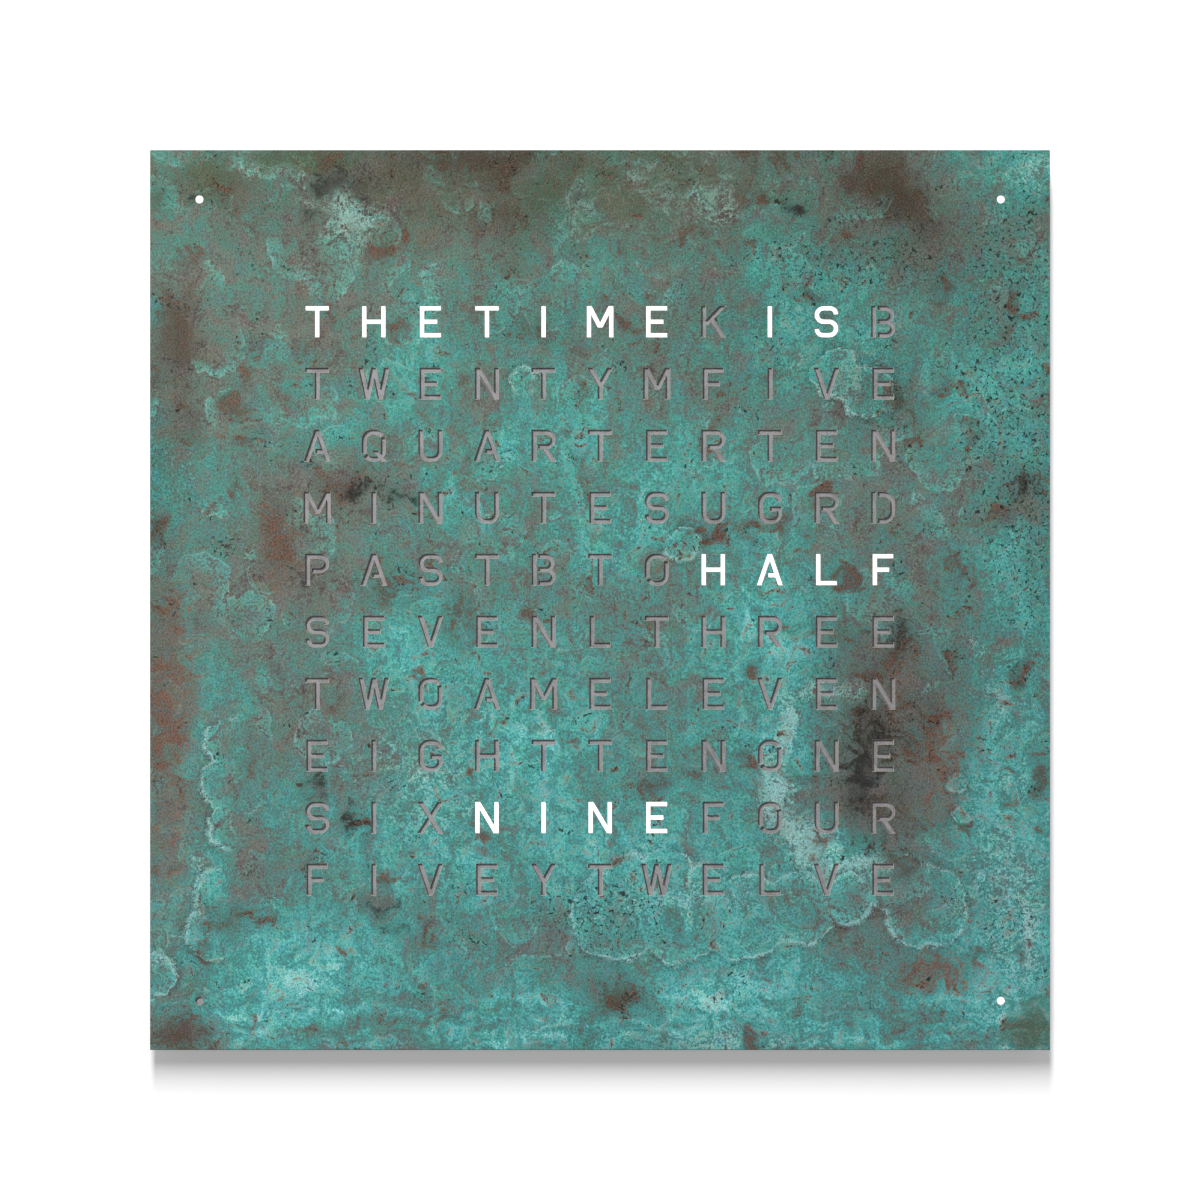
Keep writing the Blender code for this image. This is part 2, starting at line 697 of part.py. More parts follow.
def build_grid(body):
    """Light grid: a walled cell for each letter, a flange behind the carrier, stakes for the board."""
    plastic = finish("grid_plastic", (0.06, 0.06, 0.065), 0.6)
    grid = Piece("light_grid", lattice, plastic, body)
    flange_front = carrier_back - SEAT_GAP
    flange_back = flange_front - GRID_FLANGE_THICKNESS
    centre_wall = GRID_WALL / 2

    def flange(mesh):
        outer = centred(0, 0, 2 * flange_half_width, 2 * flange_half_height)
        inner = centred(0, 0, 2 * (grid_half_width - centre_wall), 2 * (grid_half_height - centre_wall))
        rings = []
        for depth in (flange_back, flange_front):
            both = ([placed("depth", x, z, depth) for x, z in ring] for ring in (outer, inner))
            rings.append([[mesh.verts.new(point) for point in ring] for ring in both])
        for k in range(len(outer)):
            after = (k + 1) % len(outer)
            for outside, inside in rings:
                mesh.faces.new((outside[k], outside[after], inside[after], inside[k]))
            for back, front in zip(*rings):
                mesh.faces.new((back[k], back[after], front[after], front[k]))

    grid.fuse(flange)
    profile = stake_profile(flange_back + FUSE_DEPTH, board_front, board_back)
    grid.fuse(turned_row(led_board_stakes(), profile, COARSE_COUNT))


def build_led_board(body):
    """Main light board with one lamp under each letter."""
    green = finish("board_green", (0.03, 0.16, 0.07), 0.4)
    area = centred(0, 0, 2 * flange_half_width, 2 * flange_half_height)
    board = Piece("led_board", slab(area, board_back, board_front), green, body)
    board.cut(stake_holes(led_board_stakes(), board_back, board_front))
    across = [(column - (COLUMNS - 1) / 2) * column_pitch for column in range(COLUMNS)]
    up = [(row - (ROWS - 1) / 2) * row_pitch for row in range(ROWS)]
    lamps = [centred(x, z, LED_WIDTH, LED_HEIGHT) for x in across for z in up]
    board.fuse(slabs(lamps, board_front - FUSE_DEPTH, board_front + LED_THICKNESS))


def build_corner_boards(body):
    """The four small boards behind the minute dots, each with its lamp and its flexible tail."""
    green = finish("corner_board_green", (0.03, 0.15, 0.08), 0.4)
    outer = ledge_inner - CORNER_BOARD_MARGIN
    inner = outer - CORNER_BOARD_SIDE
    tail_side = TAIL_WIDTH / 2 / DIAGONAL
    tail_end = (flange_half_width + flange_half_height + SEAT_GAP * DIAGONAL) / 2
    for name, centre in zip(CORNERS, corner_places(dot_out)):
        outline = [
            (outer, outer),
            (inner, outer),
            (inner, inner + 2 * tail_side),
            (tail_end - tail_side, tail_end + tail_side),
            (tail_end + tail_side, tail_end - tail_side),
            (inner + 2 * tail_side, inner),
            (outer, inner),
        ]
        sign_x, sign_z = corner_signs(name)
        outline = [(sign_x * x, sign_z * z) for x, z in outline]
        board = Piece(f"corner_light_{name}", slab(outline, board_back, board_front), green, body)
        board.cut(stake_holes(corner_stakes(name), board_back, board_front))
        lamp = centred(*centre, LED_WIDTH, LED_HEIGHT)
        board.fuse(slab(lamp, board_front - FUSE_DEPTH, board_front + LED_THICKNESS))


def build_controller(body):
    """Controller board with its components, and the coin cell in its holder."""
    blue = finish("controller_green", (0.02, 0.12, 0.06), 0.4)
    dark = finish("holder_black", (0.03, 0.03, 0.03), 0.5)
    steel = finish("cell_steel", (0.75, 0.75, 0.74), 0.25, 1.0)
    left, right, low, high = controller_area()
    back = CONTROLLER_REAR_ROOM
    front = back + BOARD_THICKNESS
    board = Piece("controller_board", slab(rectangle(left, right, low, high), back, front), blue, body)
    board.cut(stake_holes(controller_stakes(), back, front))
    room = back - ledge_rear
    for along, up, width, height, room_share in CONTROLLER_PART_SHARES.values():
        centre = controller_point(along, up)
        outline = centred(*centre, (right - left) * width, (high - low) * height)
        board.fuse(slab(outline, back - room * room_share, back + FUSE_DEPTH))
    capacitor = [(CAPACITOR_RADIUS, back - CAPACITOR_HEIGHT), (CAPACITOR_RADIUS, back + FUSE_DEPTH)]
    board.fuse(turned_row([controller_point(*shares) for shares in CAPACITOR_SHARES], capacitor))

    centre = controller_point(HOLDER_ALONG_SHARE, HOLDER_UP_SHARE)
    holder_front = back - SEAT_GAP
    floor = holder_front - HOLDER_FLOOR
    rim = floor - HOLDER_RIM
    inner = CELL_RADIUS + SEAT_GAP
    outer = inner + HOLDER_WALL
    holder = Piece(
        "coin_cell_holder",
        turned(centre, [(outer, rim), (outer, holder_front)], SMOOTH_COUNT),
        dark,
        body,
        round_shape=True,
    )
    holder.cut(turned(centre, [(inner, rim - OVERRUN), (inner, floor)], SMOOTH_COUNT))
    notch = rectangle(
        centre[0] - HOLDER_NOTCH_WIDTH / 2,
        centre[0] + HOLDER_NOTCH_WIDTH / 2,
        centre[1],
        centre[1] + outer + OVERRUN,
    )
    holder.cut(slab(notch, rim - OVERRUN, floor - HOLDER_SILL))
    cell_front = floor - SEAT_GAP
    edge = SEAT_GAP
    cell = [
        (CELL_RADIUS - edge, cell_front - CELL_THICKNESS),
        (CELL_RADIUS, cell_front - CELL_THICKNESS + edge),
        (CELL_RADIUS, cell_front),
    ]
    Piece(
        "coin_cell",
        turned(centre, cell, SMOOTH_COUNT),
        steel,
        body,
        origin=placed("depth", *centre, cell_front),
        round_shape=True,
    )


def ribbon_section():
    """Return the ribbon cable's section: depths and levels from the light board to the controller."""
    upper_depth = board_back - SEAT_GAP
    lower_depth = CONTROLLER_REAR_ROOM - SEAT_GAP
    front_edge = [
        (upper_depth, RIBBON_OVERLAP - flange_half_height),
        (upper_depth, -flange_half_height),
        (lower_depth, controller_high),
        (lower_depth, controller_high - RIBBON_OVERLAP),
    ]
    back_edge = [(depth - RIBBON_THICKNESS, level) for depth, level in reversed(front_edge)]
    return front_edge + back_edge


def build_ribbon(body):
    """Flat ribbon cable between the light board and the controller."""
    grey = finish("ribbon_grey", (0.45, 0.46, 0.48), 0.6)
    left = controller_point(RIBBON_ALONG_SHARE, 0)[0] - RIBBON_WIDTH / 2
    Piece("ribbon_cable", slab(ribbon_section(), left, left + RIBBON_WIDTH, "x"), grey, body)


def lead_points(stops):
    """Return points on a smooth curve through stops, each a place and the direction of travel there."""
    points = []
    for (start, leave), (end, arrive) in zip(stops, stops[1:]):
        for k in range(LEAD_COUNT):
            t = k / LEAD_COUNT
            points.append(
                start * (2 * t**3 - 3 * t**2 + 1)
                + leave * (t**3 - 2 * t**2 + t)
                + end * (3 * t**2 - 2 * t**3)
                + arrive * (t**3 - t**2)
            )
    points.append(stops[-1][0])
    return points


def build_lead(name, stops, material, body):
    """Make one insulated lead as a round tube along its route."""
    data = bpy.data.curves.new(name, "CURVE")
    data.dimensions = "3D"
    data.bevel_depth = LEAD_RADIUS
    data.bevel_resolution = 2
    data.use_fill_caps = True
    points = lead_points(stops)
    spline = data.splines.new("POLY")
    spline.points.add(len(points) - 1)
    for knot, point in zip(spline.points, points):
        knot.co = (*point, 1.0)
    data.materials.append(material)
    lead = bpy.data.objects.new(name, data)
    bpy.context.scene.collection.objects.link(lead)
    lead.parent = body


def build_leads(body):
    """The leads from the inlet and from the button board to the controller."""
    black = finish("lead_black", (0.02, 0.02, 0.02), 0.5)
    grey = finish("lead_grey", (0.25, 0.25, 0.27), 0.5)
    along, up, width = CONTROLLER_PART_SHARES["power_terminal"][:3]
    terminal_x, terminal_z = controller_point(along + width / 2, up)
    terminal_x += SEAT_GAP + LEAD_RADIUS / 2
    header_z = controller_point(0, CONTROLLER_PART_SHARES["button_header"][1])[1]
    left = Vector((-LEAD_SWEEP, 0, 0))
    lead_level = inlet_mouth + INLET_LENGTH * INLET_LEAD_SHARE
    inlet_side = Vector((-INLET_WIDTH / 2 - SEAT_GAP, -INLET_AXIS_DEPTH, lead_level))
    terminal = Vector((terminal_x, -INLET_AXIS_DEPTH, terminal_z))
    build_lead("power_lead", [(inlet_side, left), (terminal, left)], black, body)

    plug_left, _, plug_low, plug_high = button_plug_area()
    plug_depth = ledge_front - BOARD_THICKNESS - PLUG_DEPTH / 2
    plug_end = Vector((plug_left - SEAT_GAP, -plug_depth, (plug_low + plug_high) / 2))
    above_inlet = (inlet_mouth + INLET_LENGTH - flange_half_height) / 2
    via = Vector((0, -INLET_AXIS_DEPTH, above_inlet))
    header = Vector((terminal_x, -INLET_AXIS_DEPTH, header_z))
    sweep = Vector((-BUTTON_LEAD_SWEEP, 0, 0))
    build_lead("button_lead", [(plug_end, sweep), (via, sweep), (header, left)], grey, body)


def button_plug_area():
    """Return the edges of the plug on the button board's left end."""
    left, right, low, high = button_board_area()
    return (left + SEAT_GAP, left + SEAT_GAP + PLUG_WIDTH, high - PLUG_HEIGHT - SEAT_GAP, high - SEAT_GAP)


def build_inlet(body):
    """Power inlet and the channel in front of it."""
    black = finish("inlet_black", (0.02, 0.02, 0.022), 0.4)
    plastic = finish("well_plastic", (0.05, 0.05, 0.055), 0.5)
    mouth = inlet_mouth
    end = mouth + INLET_LENGTH
    bore_end = mouth + INLET_BORE_LENGTH
    centre = (0, INLET_AXIS_DEPTH)
    block = Piece(
        "dc_inlet",
        slab(centred(*centre, INLET_WIDTH, INLET_DEPTH), mouth, end, "z"),
        black,
        body,
        origin=placed("z", *centre, mouth),
    )
    bore = [(INLET_BORE_RADIUS, mouth - OVERRUN), (INLET_BORE_RADIUS, bore_end)]
    block.cut(turned(centre, bore, FINE_COUNT, "z"))
    pin = [(INLET_PIN_RADIUS, bore_end - INLET_PIN_LENGTH), (INLET_PIN_RADIUS, bore_end + FUSE_DEPTH)]
    block.fuse(turned(centre, pin, COARSE_COUNT, "z"))

    outer = WELL_WIDTH / 2 + WELL_WALL
    well = Piece(
        "cable_well",
        slab(rectangle(-outer, outer, -rail_outer, mouth + WELL_WALL), 0, WELL_DEPTH + WELL_WALL),
        plastic,
        body,
    )
    channel = rectangle(-WELL_WIDTH / 2, WELL_WIDTH / 2, -rail_outer - OVERRUN, mouth)
    well.cut(slab(channel, -OVERRUN, WELL_DEPTH))
    window = centred(*centre, INLET_WIDTH + 2 * SEAT_GAP, INLET_DEPTH + 2 * SEAT_GAP)
    well.cut(slab(window, mouth - OVERRUN, mouth + WELL_WALL + OVERRUN, "z"))


def build_button_board(body):
    """Button board with its three switches, the light sensor and the lead's plug."""
    green = finish("button_board_green", (0.03, 0.15, 0.07), 0.4)
    left, right, low, high = button_board_area()
    front = ledge_front
    back = front - BOARD_THICKNESS
    board = Piece("button_board", slab(rectangle(left, right, low, high), back, front), green, body)
    board.cut(stake_holes(button_board_stakes(), back, front))
    mouth = switch_mouth()
    reach = back - BUTTON_DEPTH
    level = mouth + SWITCH_LENGTH / 2
    cases = [centred(x, level, SWITCH_WIDTH, SWITCH_LENGTH) for x in button_places()]
    board.fuse(slabs(cases, BUTTON_DEPTH - reach, back + FUSE_DEPTH))
    hidden = PLUNGER_LENGTH - PLUNGER_SHOWS
    bores = [circle(x, BUTTON_DEPTH, PLUNGER_RADIUS + SEAT_GAP) for x in button_places()]
    board.cut(slabs(bores, mouth - OVERRUN, mouth + hidden + SWITCH_BORE_SPARE, "z"))
    sensor_level = GUIDE_LENGTH + SEAT_GAP + SENSOR_LENGTH / 2 - rail_outer
    sensor = centred(sensor_along, sensor_level, SENSOR_WIDTH, SENSOR_LENGTH)
    board.fuse(slab(sensor, back - SENSOR_HEIGHT, back + FUSE_DEPTH))
    plug = rectangle(*button_plug_area())
    board.fuse(slab(plug, back - PLUG_DEPTH, back + FUSE_DEPTH))


def build_buttons():
    """Each button's cap and the plunger of its switch, which slide up together."""
    satin = finish("button_black", (0.03, 0.03, 0.032), 0.4)
    white = finish("plunger_white", (0.75, 0.75, 0.73), 0.45)
    outside = -rail_outer - BUTTON_PROUD
    flange_low = -rebate_wall + SEAT_GAP
    flange_high = flange_low + BUTTON_FLANGE_THICKNESS
    nose = flange_high + BUTTON_NOSE_LENGTH
    plunger_low = switch_mouth() - PLUNGER_SHOWS
    for name, x in zip(BUTTON_NAMES, button_places()):
        place = placed("z", x, BUTTON_DEPTH, -rail_outer)
        body = body_empty(f"{name}_slide", place)
        centre = (x, BUTTON_DEPTH)
        cap = [
            (BUTTON_RADIUS - BUTTON_EDGE, outside),
            (BUTTON_RADIUS, outside + BUTTON_EDGE),
            (BUTTON_RADIUS, flange_low),
            (BUTTON_FLANGE_RADIUS, flange_low),
            (BUTTON_FLANGE_RADIUS, flange_high),
            (BUTTON_NOSE_RADIUS, flange_high),
            (BUTTON_NOSE_RADIUS, nose),
        ]
        knob = turned(centre, cap, FINE_COUNT, "z")
        Piece(f"{name}_button", knob, satin, body, origin=place, round_shape=True)
        plunger = [(PLUNGER_RADIUS, plunger_low), (PLUNGER_RADIUS, plunger_low + PLUNGER_LENGTH)]
        stem = turned(centre, plunger, FINE_COUNT, "z")
        Piece(f"{name}_plunger", stem, white, body, origin=place, round_shape=True)


def build_light_guide(body):
    """Clear rod that brings room light to the sensor."""
    clear = finish("guide_clear", (0.85, 0.87, 0.88), 0.1)
    rod = [(GUIDE_RADIUS, -rail_outer), (GUIDE_RADIUS, GUIDE_LENGTH - rail_outer)]
    guide = turned((sensor_along, BUTTON_DEPTH), rod, FINE_COUNT, "z")
    place = placed("z", sensor_along, BUTTON_DEPTH, -rail_outer)
    Piece("sensor_light_guide", guide, clear, body, origin=place, round_shape=True)


def hanger_centres():
    """Return the centres of the two hanger plates."""
    return [(-hanger_across, hanger_level), (hanger_across, hanger_level)]


def rivet_places(centre):
    """Return the two rivets of one hanger plate."""
    return [(centre[0] + sign * RIVET_FROM_MIDDLE, centre[1]) for sign in (-1, 1)]


def screw_places():
    """Return the rear panel's screws, two on each side."""
    places = []
    for side in SIDES:
        for number, sign in ((1, -1), (2, 1)):
            places.append((side, number, on_side(side, sign * screw_along, screw_out)))
    return places


def build_rear_panel(body):
    """Rear panel with its hanger recesses, bumper seats, screw holes and cable notch."""
    board = finish("rear_panel_black", (0.03, 0.03, 0.03), 0.6)
    half = rebate_wall - SEAT_GAP
    sheet = slab(centred(0, 0, 2 * half, 2 * half), 0, REAR_PANEL_THICKNESS)
    panel = Piece("rear_panel", sheet, board, body)
    hanger_recess = HANGER_THICKNESS + SEAT_GAP
    recesses = [
        rounded(*centre, HANGER_LENGTH + 2 * SEAT_GAP, HANGER_HEIGHT + 2 * SEAT_GAP, HANGER_CORNER)
        for centre in hanger_centres()
    ]
    panel.cut(slabs(recesses, -OVERRUN, hanger_recess))
    seats = [circle(*place, BUMPER_RADIUS + SEAT_GAP) for place in corner_places(bumper_out)]
    panel.cut(slabs(seats, -OVERRUN, BUMPER_RECESS))
    heads = [circle(*centre, SCREW_HEAD_RADIUS + SEAT_GAP) for _, _, centre in screw_places()]
    panel.cut(slabs(heads, -OVERRUN, SCREW_HEAD_THICKNESS + SEAT_GAP))
    shank = SCREW_SHANK_RADIUS + SEAT_GAP
    through = [circle(*centre, shank, COARSE_COUNT) for _, _, centre in screw_places()]
    for centre in hanger_centres():
        rivet_hole = RIVET_RADIUS + SEAT_GAP
        through += [circle(*place, rivet_hole, COARSE_COUNT) for place in rivet_places(centre)]
        half_width = KEYHOLE_RADIUS + WINDOW_MARGIN
        height = HANGER_HEIGHT - 2 * SEAT_GAP
        through.append(rounded(*centre, 2 * half_width, height, half_width - SEAT_GAP, WIDE_CORNER_COUNT))
    through.append(inlet_notch(-half - OVERRUN))
    panel.cut(slabs(through, -OVERRUN, REAR_PANEL_THICKNESS + OVERRUN))


def inlet_notch(low):
    """Return the notch that the cable channel and, above it, the narrower inlet stand in."""
    wide = WELL_WIDTH / 2 + WELL_WALL + SEAT_GAP
    narrow = INLET_WIDTH / 2 + SEAT_GAP
    shoulder = inlet_mouth + WELL_WALL + SEAT_GAP
    high = inlet_mouth + INLET_LENGTH + SEAT_GAP
    right_side = [(wide, low), (wide, shoulder), (narrow, shoulder), (narrow, high)]
    return right_side + [(-x, z) for x, z in reversed(right_side)]


def build_hangers(body):
    """The two keyhole hanger plates, riveted through the rear panel."""
    zinc = finish("hanger_zinc", (0.62, 0.63, 0.65), 0.35, 1.0)
    for name, centre in zip(("left", "right"), hanger_centres()):
        plate = Piece(
            f"hanger_plate_{name}",
            slab(rounded(*centre, HANGER_LENGTH, HANGER_HEIGHT, HANGER_CORNER), 0, HANGER_THICKNESS),
            zinc,
            body,
        )
        head_back = REAR_PANEL_THICKNESS + SEAT_GAP
        rivet = [
            (RIVET_RADIUS, HANGER_THICKNESS - FUSE_DEPTH),
            (RIVET_RADIUS, head_back),
            (RIVET_HEAD_RADIUS, head_back),
            (RIVET_HEAD_RADIUS, head_back + RIVET_HEAD_THICKNESS),
        ]
        plate.fuse(turned_row(rivet_places(centre), rivet, COARSE_COUNT))
        entry = centre[1] - KEYHOLE_DROP
        hole = keyhole(centre[0], entry, KEYHOLE_RADIUS, KEYHOLE_SLOT_RADIUS, KEYHOLE_TRAVEL)
        plate.cut(slab(hole, -OVERRUN, HANGER_THICKNESS + OVERRUN))


def build_rear_fixings(body):
    """The rear screws and the rubber bumpers."""
    steel = finish("screw_black", (0.08, 0.08, 0.08), 0.4, 0.8)
    rubber = finish("bumper_rubber", (0.06, 0.06, 0.06), 0.8)
    screw = [
        (SCREW_HEAD_RADIUS, 0),
        (SCREW_HEAD_RADIUS, SCREW_HEAD_THICKNESS),
        (SCREW_SHANK_RADIUS, SCREW_HEAD_THICKNESS),
        (SCREW_SHANK_RADIUS, SCREW_LENGTH - SCREW_SHANK_RADIUS),
        (SCREW_SHANK_RADIUS * SCREW_TIP_SHARE, SCREW_LENGTH),
    ]
    for side, number, centre in screw_places():
        Piece(
            f"rear_screw_{side}_{number}",
            turned(centre, screw, MEDIUM_COUNT),
            steel,
            body,
            origin=placed("depth", *centre, 0),
            round_shape=True,
        )
    seat = BUMPER_RECESS - SEAT_GAP
    bumper = [
        (BUMPER_RADIUS - BUMPER_CHAMFER, -BUMPER_STAND_OFF),
        (BUMPER_RADIUS, BUMPER_CHAMFER - BUMPER_STAND_OFF),
        (BUMPER_RADIUS, seat),
    ]
    for name, centre in zip(CORNERS, corner_places(bumper_out)):
        Piece(
            f"wall_bumper_{name}",
            turned(centre, bumper, FINE_COUNT),
            rubber,
            body,
            origin=placed("depth", *centre, 0),
            round_shape=True,
        )


def main():
    """Build the clock."""
    for item in list(bpy.data.objects):
        bpy.data.objects.remove(item)
    housing = body_empty("housing_frame", (0, 0, 0))
    cover = body_empty("cover_slide", placed("depth", 0, 0, cover_back))
    build_cover(cover)
    build_rails(housing)
    build_magnets(housing)
    build_carrier(housing)
    build_grid(housing)
    build_led_board(housing)
    build_corner_boards(housing)
    build_controller(housing)
    build_ribbon(housing)
    build_leads(housing)
    build_inlet(housing)
    build_button_board(housing)
    build_buttons()
    build_light_guide(housing)
    build_rear_panel(housing)
    build_hangers(housing)
    build_rear_fixings(housing)
    bpy.context.view_layer.update()


main()
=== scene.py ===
"""Looks of the wall word clock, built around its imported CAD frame.

X points right, Z up, and the front faces -Y. A depth is measured from the rear face towards the front, so a
point at depth d lies at y = -d. Sizes and places in the tables are in millimetres.
"""

import json
import logging
import math
from collections.abc import Iterable, Mapping, Sequence
from dataclasses import dataclass, field
from enum import Enum

import bmesh
import bpy
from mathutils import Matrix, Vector
from mathutils.geometry import delaunay_2d_cdt

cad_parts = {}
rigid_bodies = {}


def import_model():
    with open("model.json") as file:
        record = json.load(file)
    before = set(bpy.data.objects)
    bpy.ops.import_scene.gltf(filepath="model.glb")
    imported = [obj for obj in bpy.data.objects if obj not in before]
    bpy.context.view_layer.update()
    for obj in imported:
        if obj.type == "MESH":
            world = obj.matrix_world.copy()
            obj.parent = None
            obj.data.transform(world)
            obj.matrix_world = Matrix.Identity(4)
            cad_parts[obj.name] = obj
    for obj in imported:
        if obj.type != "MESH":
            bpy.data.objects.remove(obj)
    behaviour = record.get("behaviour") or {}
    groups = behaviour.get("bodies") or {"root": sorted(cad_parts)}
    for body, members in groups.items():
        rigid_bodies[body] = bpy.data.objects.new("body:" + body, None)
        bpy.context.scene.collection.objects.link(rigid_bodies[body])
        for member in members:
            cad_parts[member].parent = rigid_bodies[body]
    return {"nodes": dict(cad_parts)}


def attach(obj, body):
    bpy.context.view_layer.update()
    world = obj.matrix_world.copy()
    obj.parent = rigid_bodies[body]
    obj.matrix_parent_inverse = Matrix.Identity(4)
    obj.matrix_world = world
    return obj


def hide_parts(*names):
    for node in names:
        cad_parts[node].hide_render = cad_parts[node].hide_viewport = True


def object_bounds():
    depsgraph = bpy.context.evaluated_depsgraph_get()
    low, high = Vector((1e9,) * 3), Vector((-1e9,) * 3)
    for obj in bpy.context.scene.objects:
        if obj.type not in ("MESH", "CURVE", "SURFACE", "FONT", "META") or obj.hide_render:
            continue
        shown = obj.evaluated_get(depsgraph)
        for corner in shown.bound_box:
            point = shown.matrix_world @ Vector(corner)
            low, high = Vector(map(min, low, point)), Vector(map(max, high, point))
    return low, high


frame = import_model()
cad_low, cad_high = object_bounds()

LOG = logging.getLogger("word_clock")
MM = 0.001
CORNERS = ("top_left", "top_right", "bottom_right", "bottom_left")
SIDES = ("top", "right", "bottom", "left")
COLUMN_PITCH = 28.3
ROW_PITCH = 31.0
DOT_OUT = 200.4
WHITE = (1.0, 1.0, 1.0)
BLACK = (0.0, 0.0, 0.0)

Point = tuple[float, float]
Outline = list[Point]
Colour = tuple[float, float, float]
Screen = tuple[int, int, int]


class Axis(Enum):
    """The direction that a drawn shape is extruded or turned about."""

    DEPTH = "depth"
    UP = "up"


def shade(red: int, green: int, blue: int) -> Colour:
    """Return a screen colour of 0 to 255 as linear light.

    Args:
        red: The red part.
        green: The green part.
        blue: The blue part.

    Returns:
        The linear colour.
    """

    def linear(part: float) -> float:
        """Return one part in linear light."""
        return part / 12.92 if part <= 0.04045 else ((part + 0.055) / 1.055) ** 2.4

    return (linear(red / 255), linear(green / 255), linear(blue / 255))


def corner_signs(corner: str) -> tuple[int, int]:
    """Return the signs of x and z at a named corner."""
    return (-1 if corner.endswith("left") else 1, 1 if corner.startswith("top") else -1)


# Shader graphs


class Value:
    """One output in a shader graph, with arithmetic that adds Math nodes."""

    def __init__(self, graph: "Graph", socket: bpy.types.NodeSocket) -> None:
        """Wrap an output.

        Args:
            graph: The graph that the output belongs to.
            socket: The output itself.
        """
        self.graph = graph
        self.socket = socket

    def math(self, operation: str, *others: "Value | float") -> "Value":
        """Return the result of a Math node on this value and others."""
        sockets = dict(enumerate((self, *others)))
        return self.graph.node("ShaderNodeMath", {"operation": operation}, sockets)

    def flipped(self, operation: str, other: "Value | float") -> "Value":
        """Return the result of a Math node with this value second."""
        return self.graph.node("ShaderNodeMath", {"operation": operation}, {0: other, 1: self})

    def __add__(self, other: "Value | float") -> "Value":
        """Add."""
        return self.math("ADD", other)

    def __sub__(self, other: "Value | float") -> "Value":
        """Subtract."""
        return self.math("SUBTRACT", other)

    def __mul__(self, other: "Value | float") -> "Value":
        """Multiply."""
        return self.math("MULTIPLY", other)

    def __truediv__(self, other: "Value | float") -> "Value":
        """Divide."""
        return self.math("DIVIDE", other)

    def __rsub__(self, other: float) -> "Value":
        """Subtract this value from a number."""
        return self.flipped("SUBTRACT", other)

    def __rtruediv__(self, other: float) -> "Value":
        """Divide a number by this value."""
        return self.flipped("DIVIDE", other)

    __radd__ = __add__
    __rmul__ = __mul__

    def __abs__(self) -> "Value":
        """Return the size without its sign."""
        return self.math("ABSOLUTE")

    def least(self, other: "Value | float") -> "Value":
        """Return the smaller of two values."""
        return self.math("MINIMUM", other)

    def most(self, other: "Value | float") -> "Value":
        """Return the larger of two values."""
        return self.math("MAXIMUM", other)

    def ramp(self, low: float, high: float, start: float = 0.0, end: float = 1.0) -> "Value":
        """Return a smooth step.

        Args:
            low: The value where the step starts.
            high: The value where it ends. It may be below low.
            start: The result before the step.
            end: The result after it.

        Returns:
            The stepped value.
        """
        if low > high:
            low, high, start, end = high, low, end, start
        settings = {"interpolation_type": "SMOOTHSTEP"}
        sockets = {"Value": self, "From Min": low, "From Max": high, "To Min": start, "To Max": end}
        return self.graph.node("ShaderNodeMapRange", settings, sockets)

    def frayed(self, low: float, high: float, *noises: tuple["Value", float]) -> "Value":
        """Return this cover with its edge broken up.

        Args:
            low: Where it starts to show.
            high: Where it shows in full.
            noises: Noises, each with how much it adds or takes off.

        Returns:
            The cover, from 0 to 1.
        """
        cover = self
        for noise, weight in noises:
            cover = cover + (noise - 0.5) * weight
        return cover.ramp(low, high)


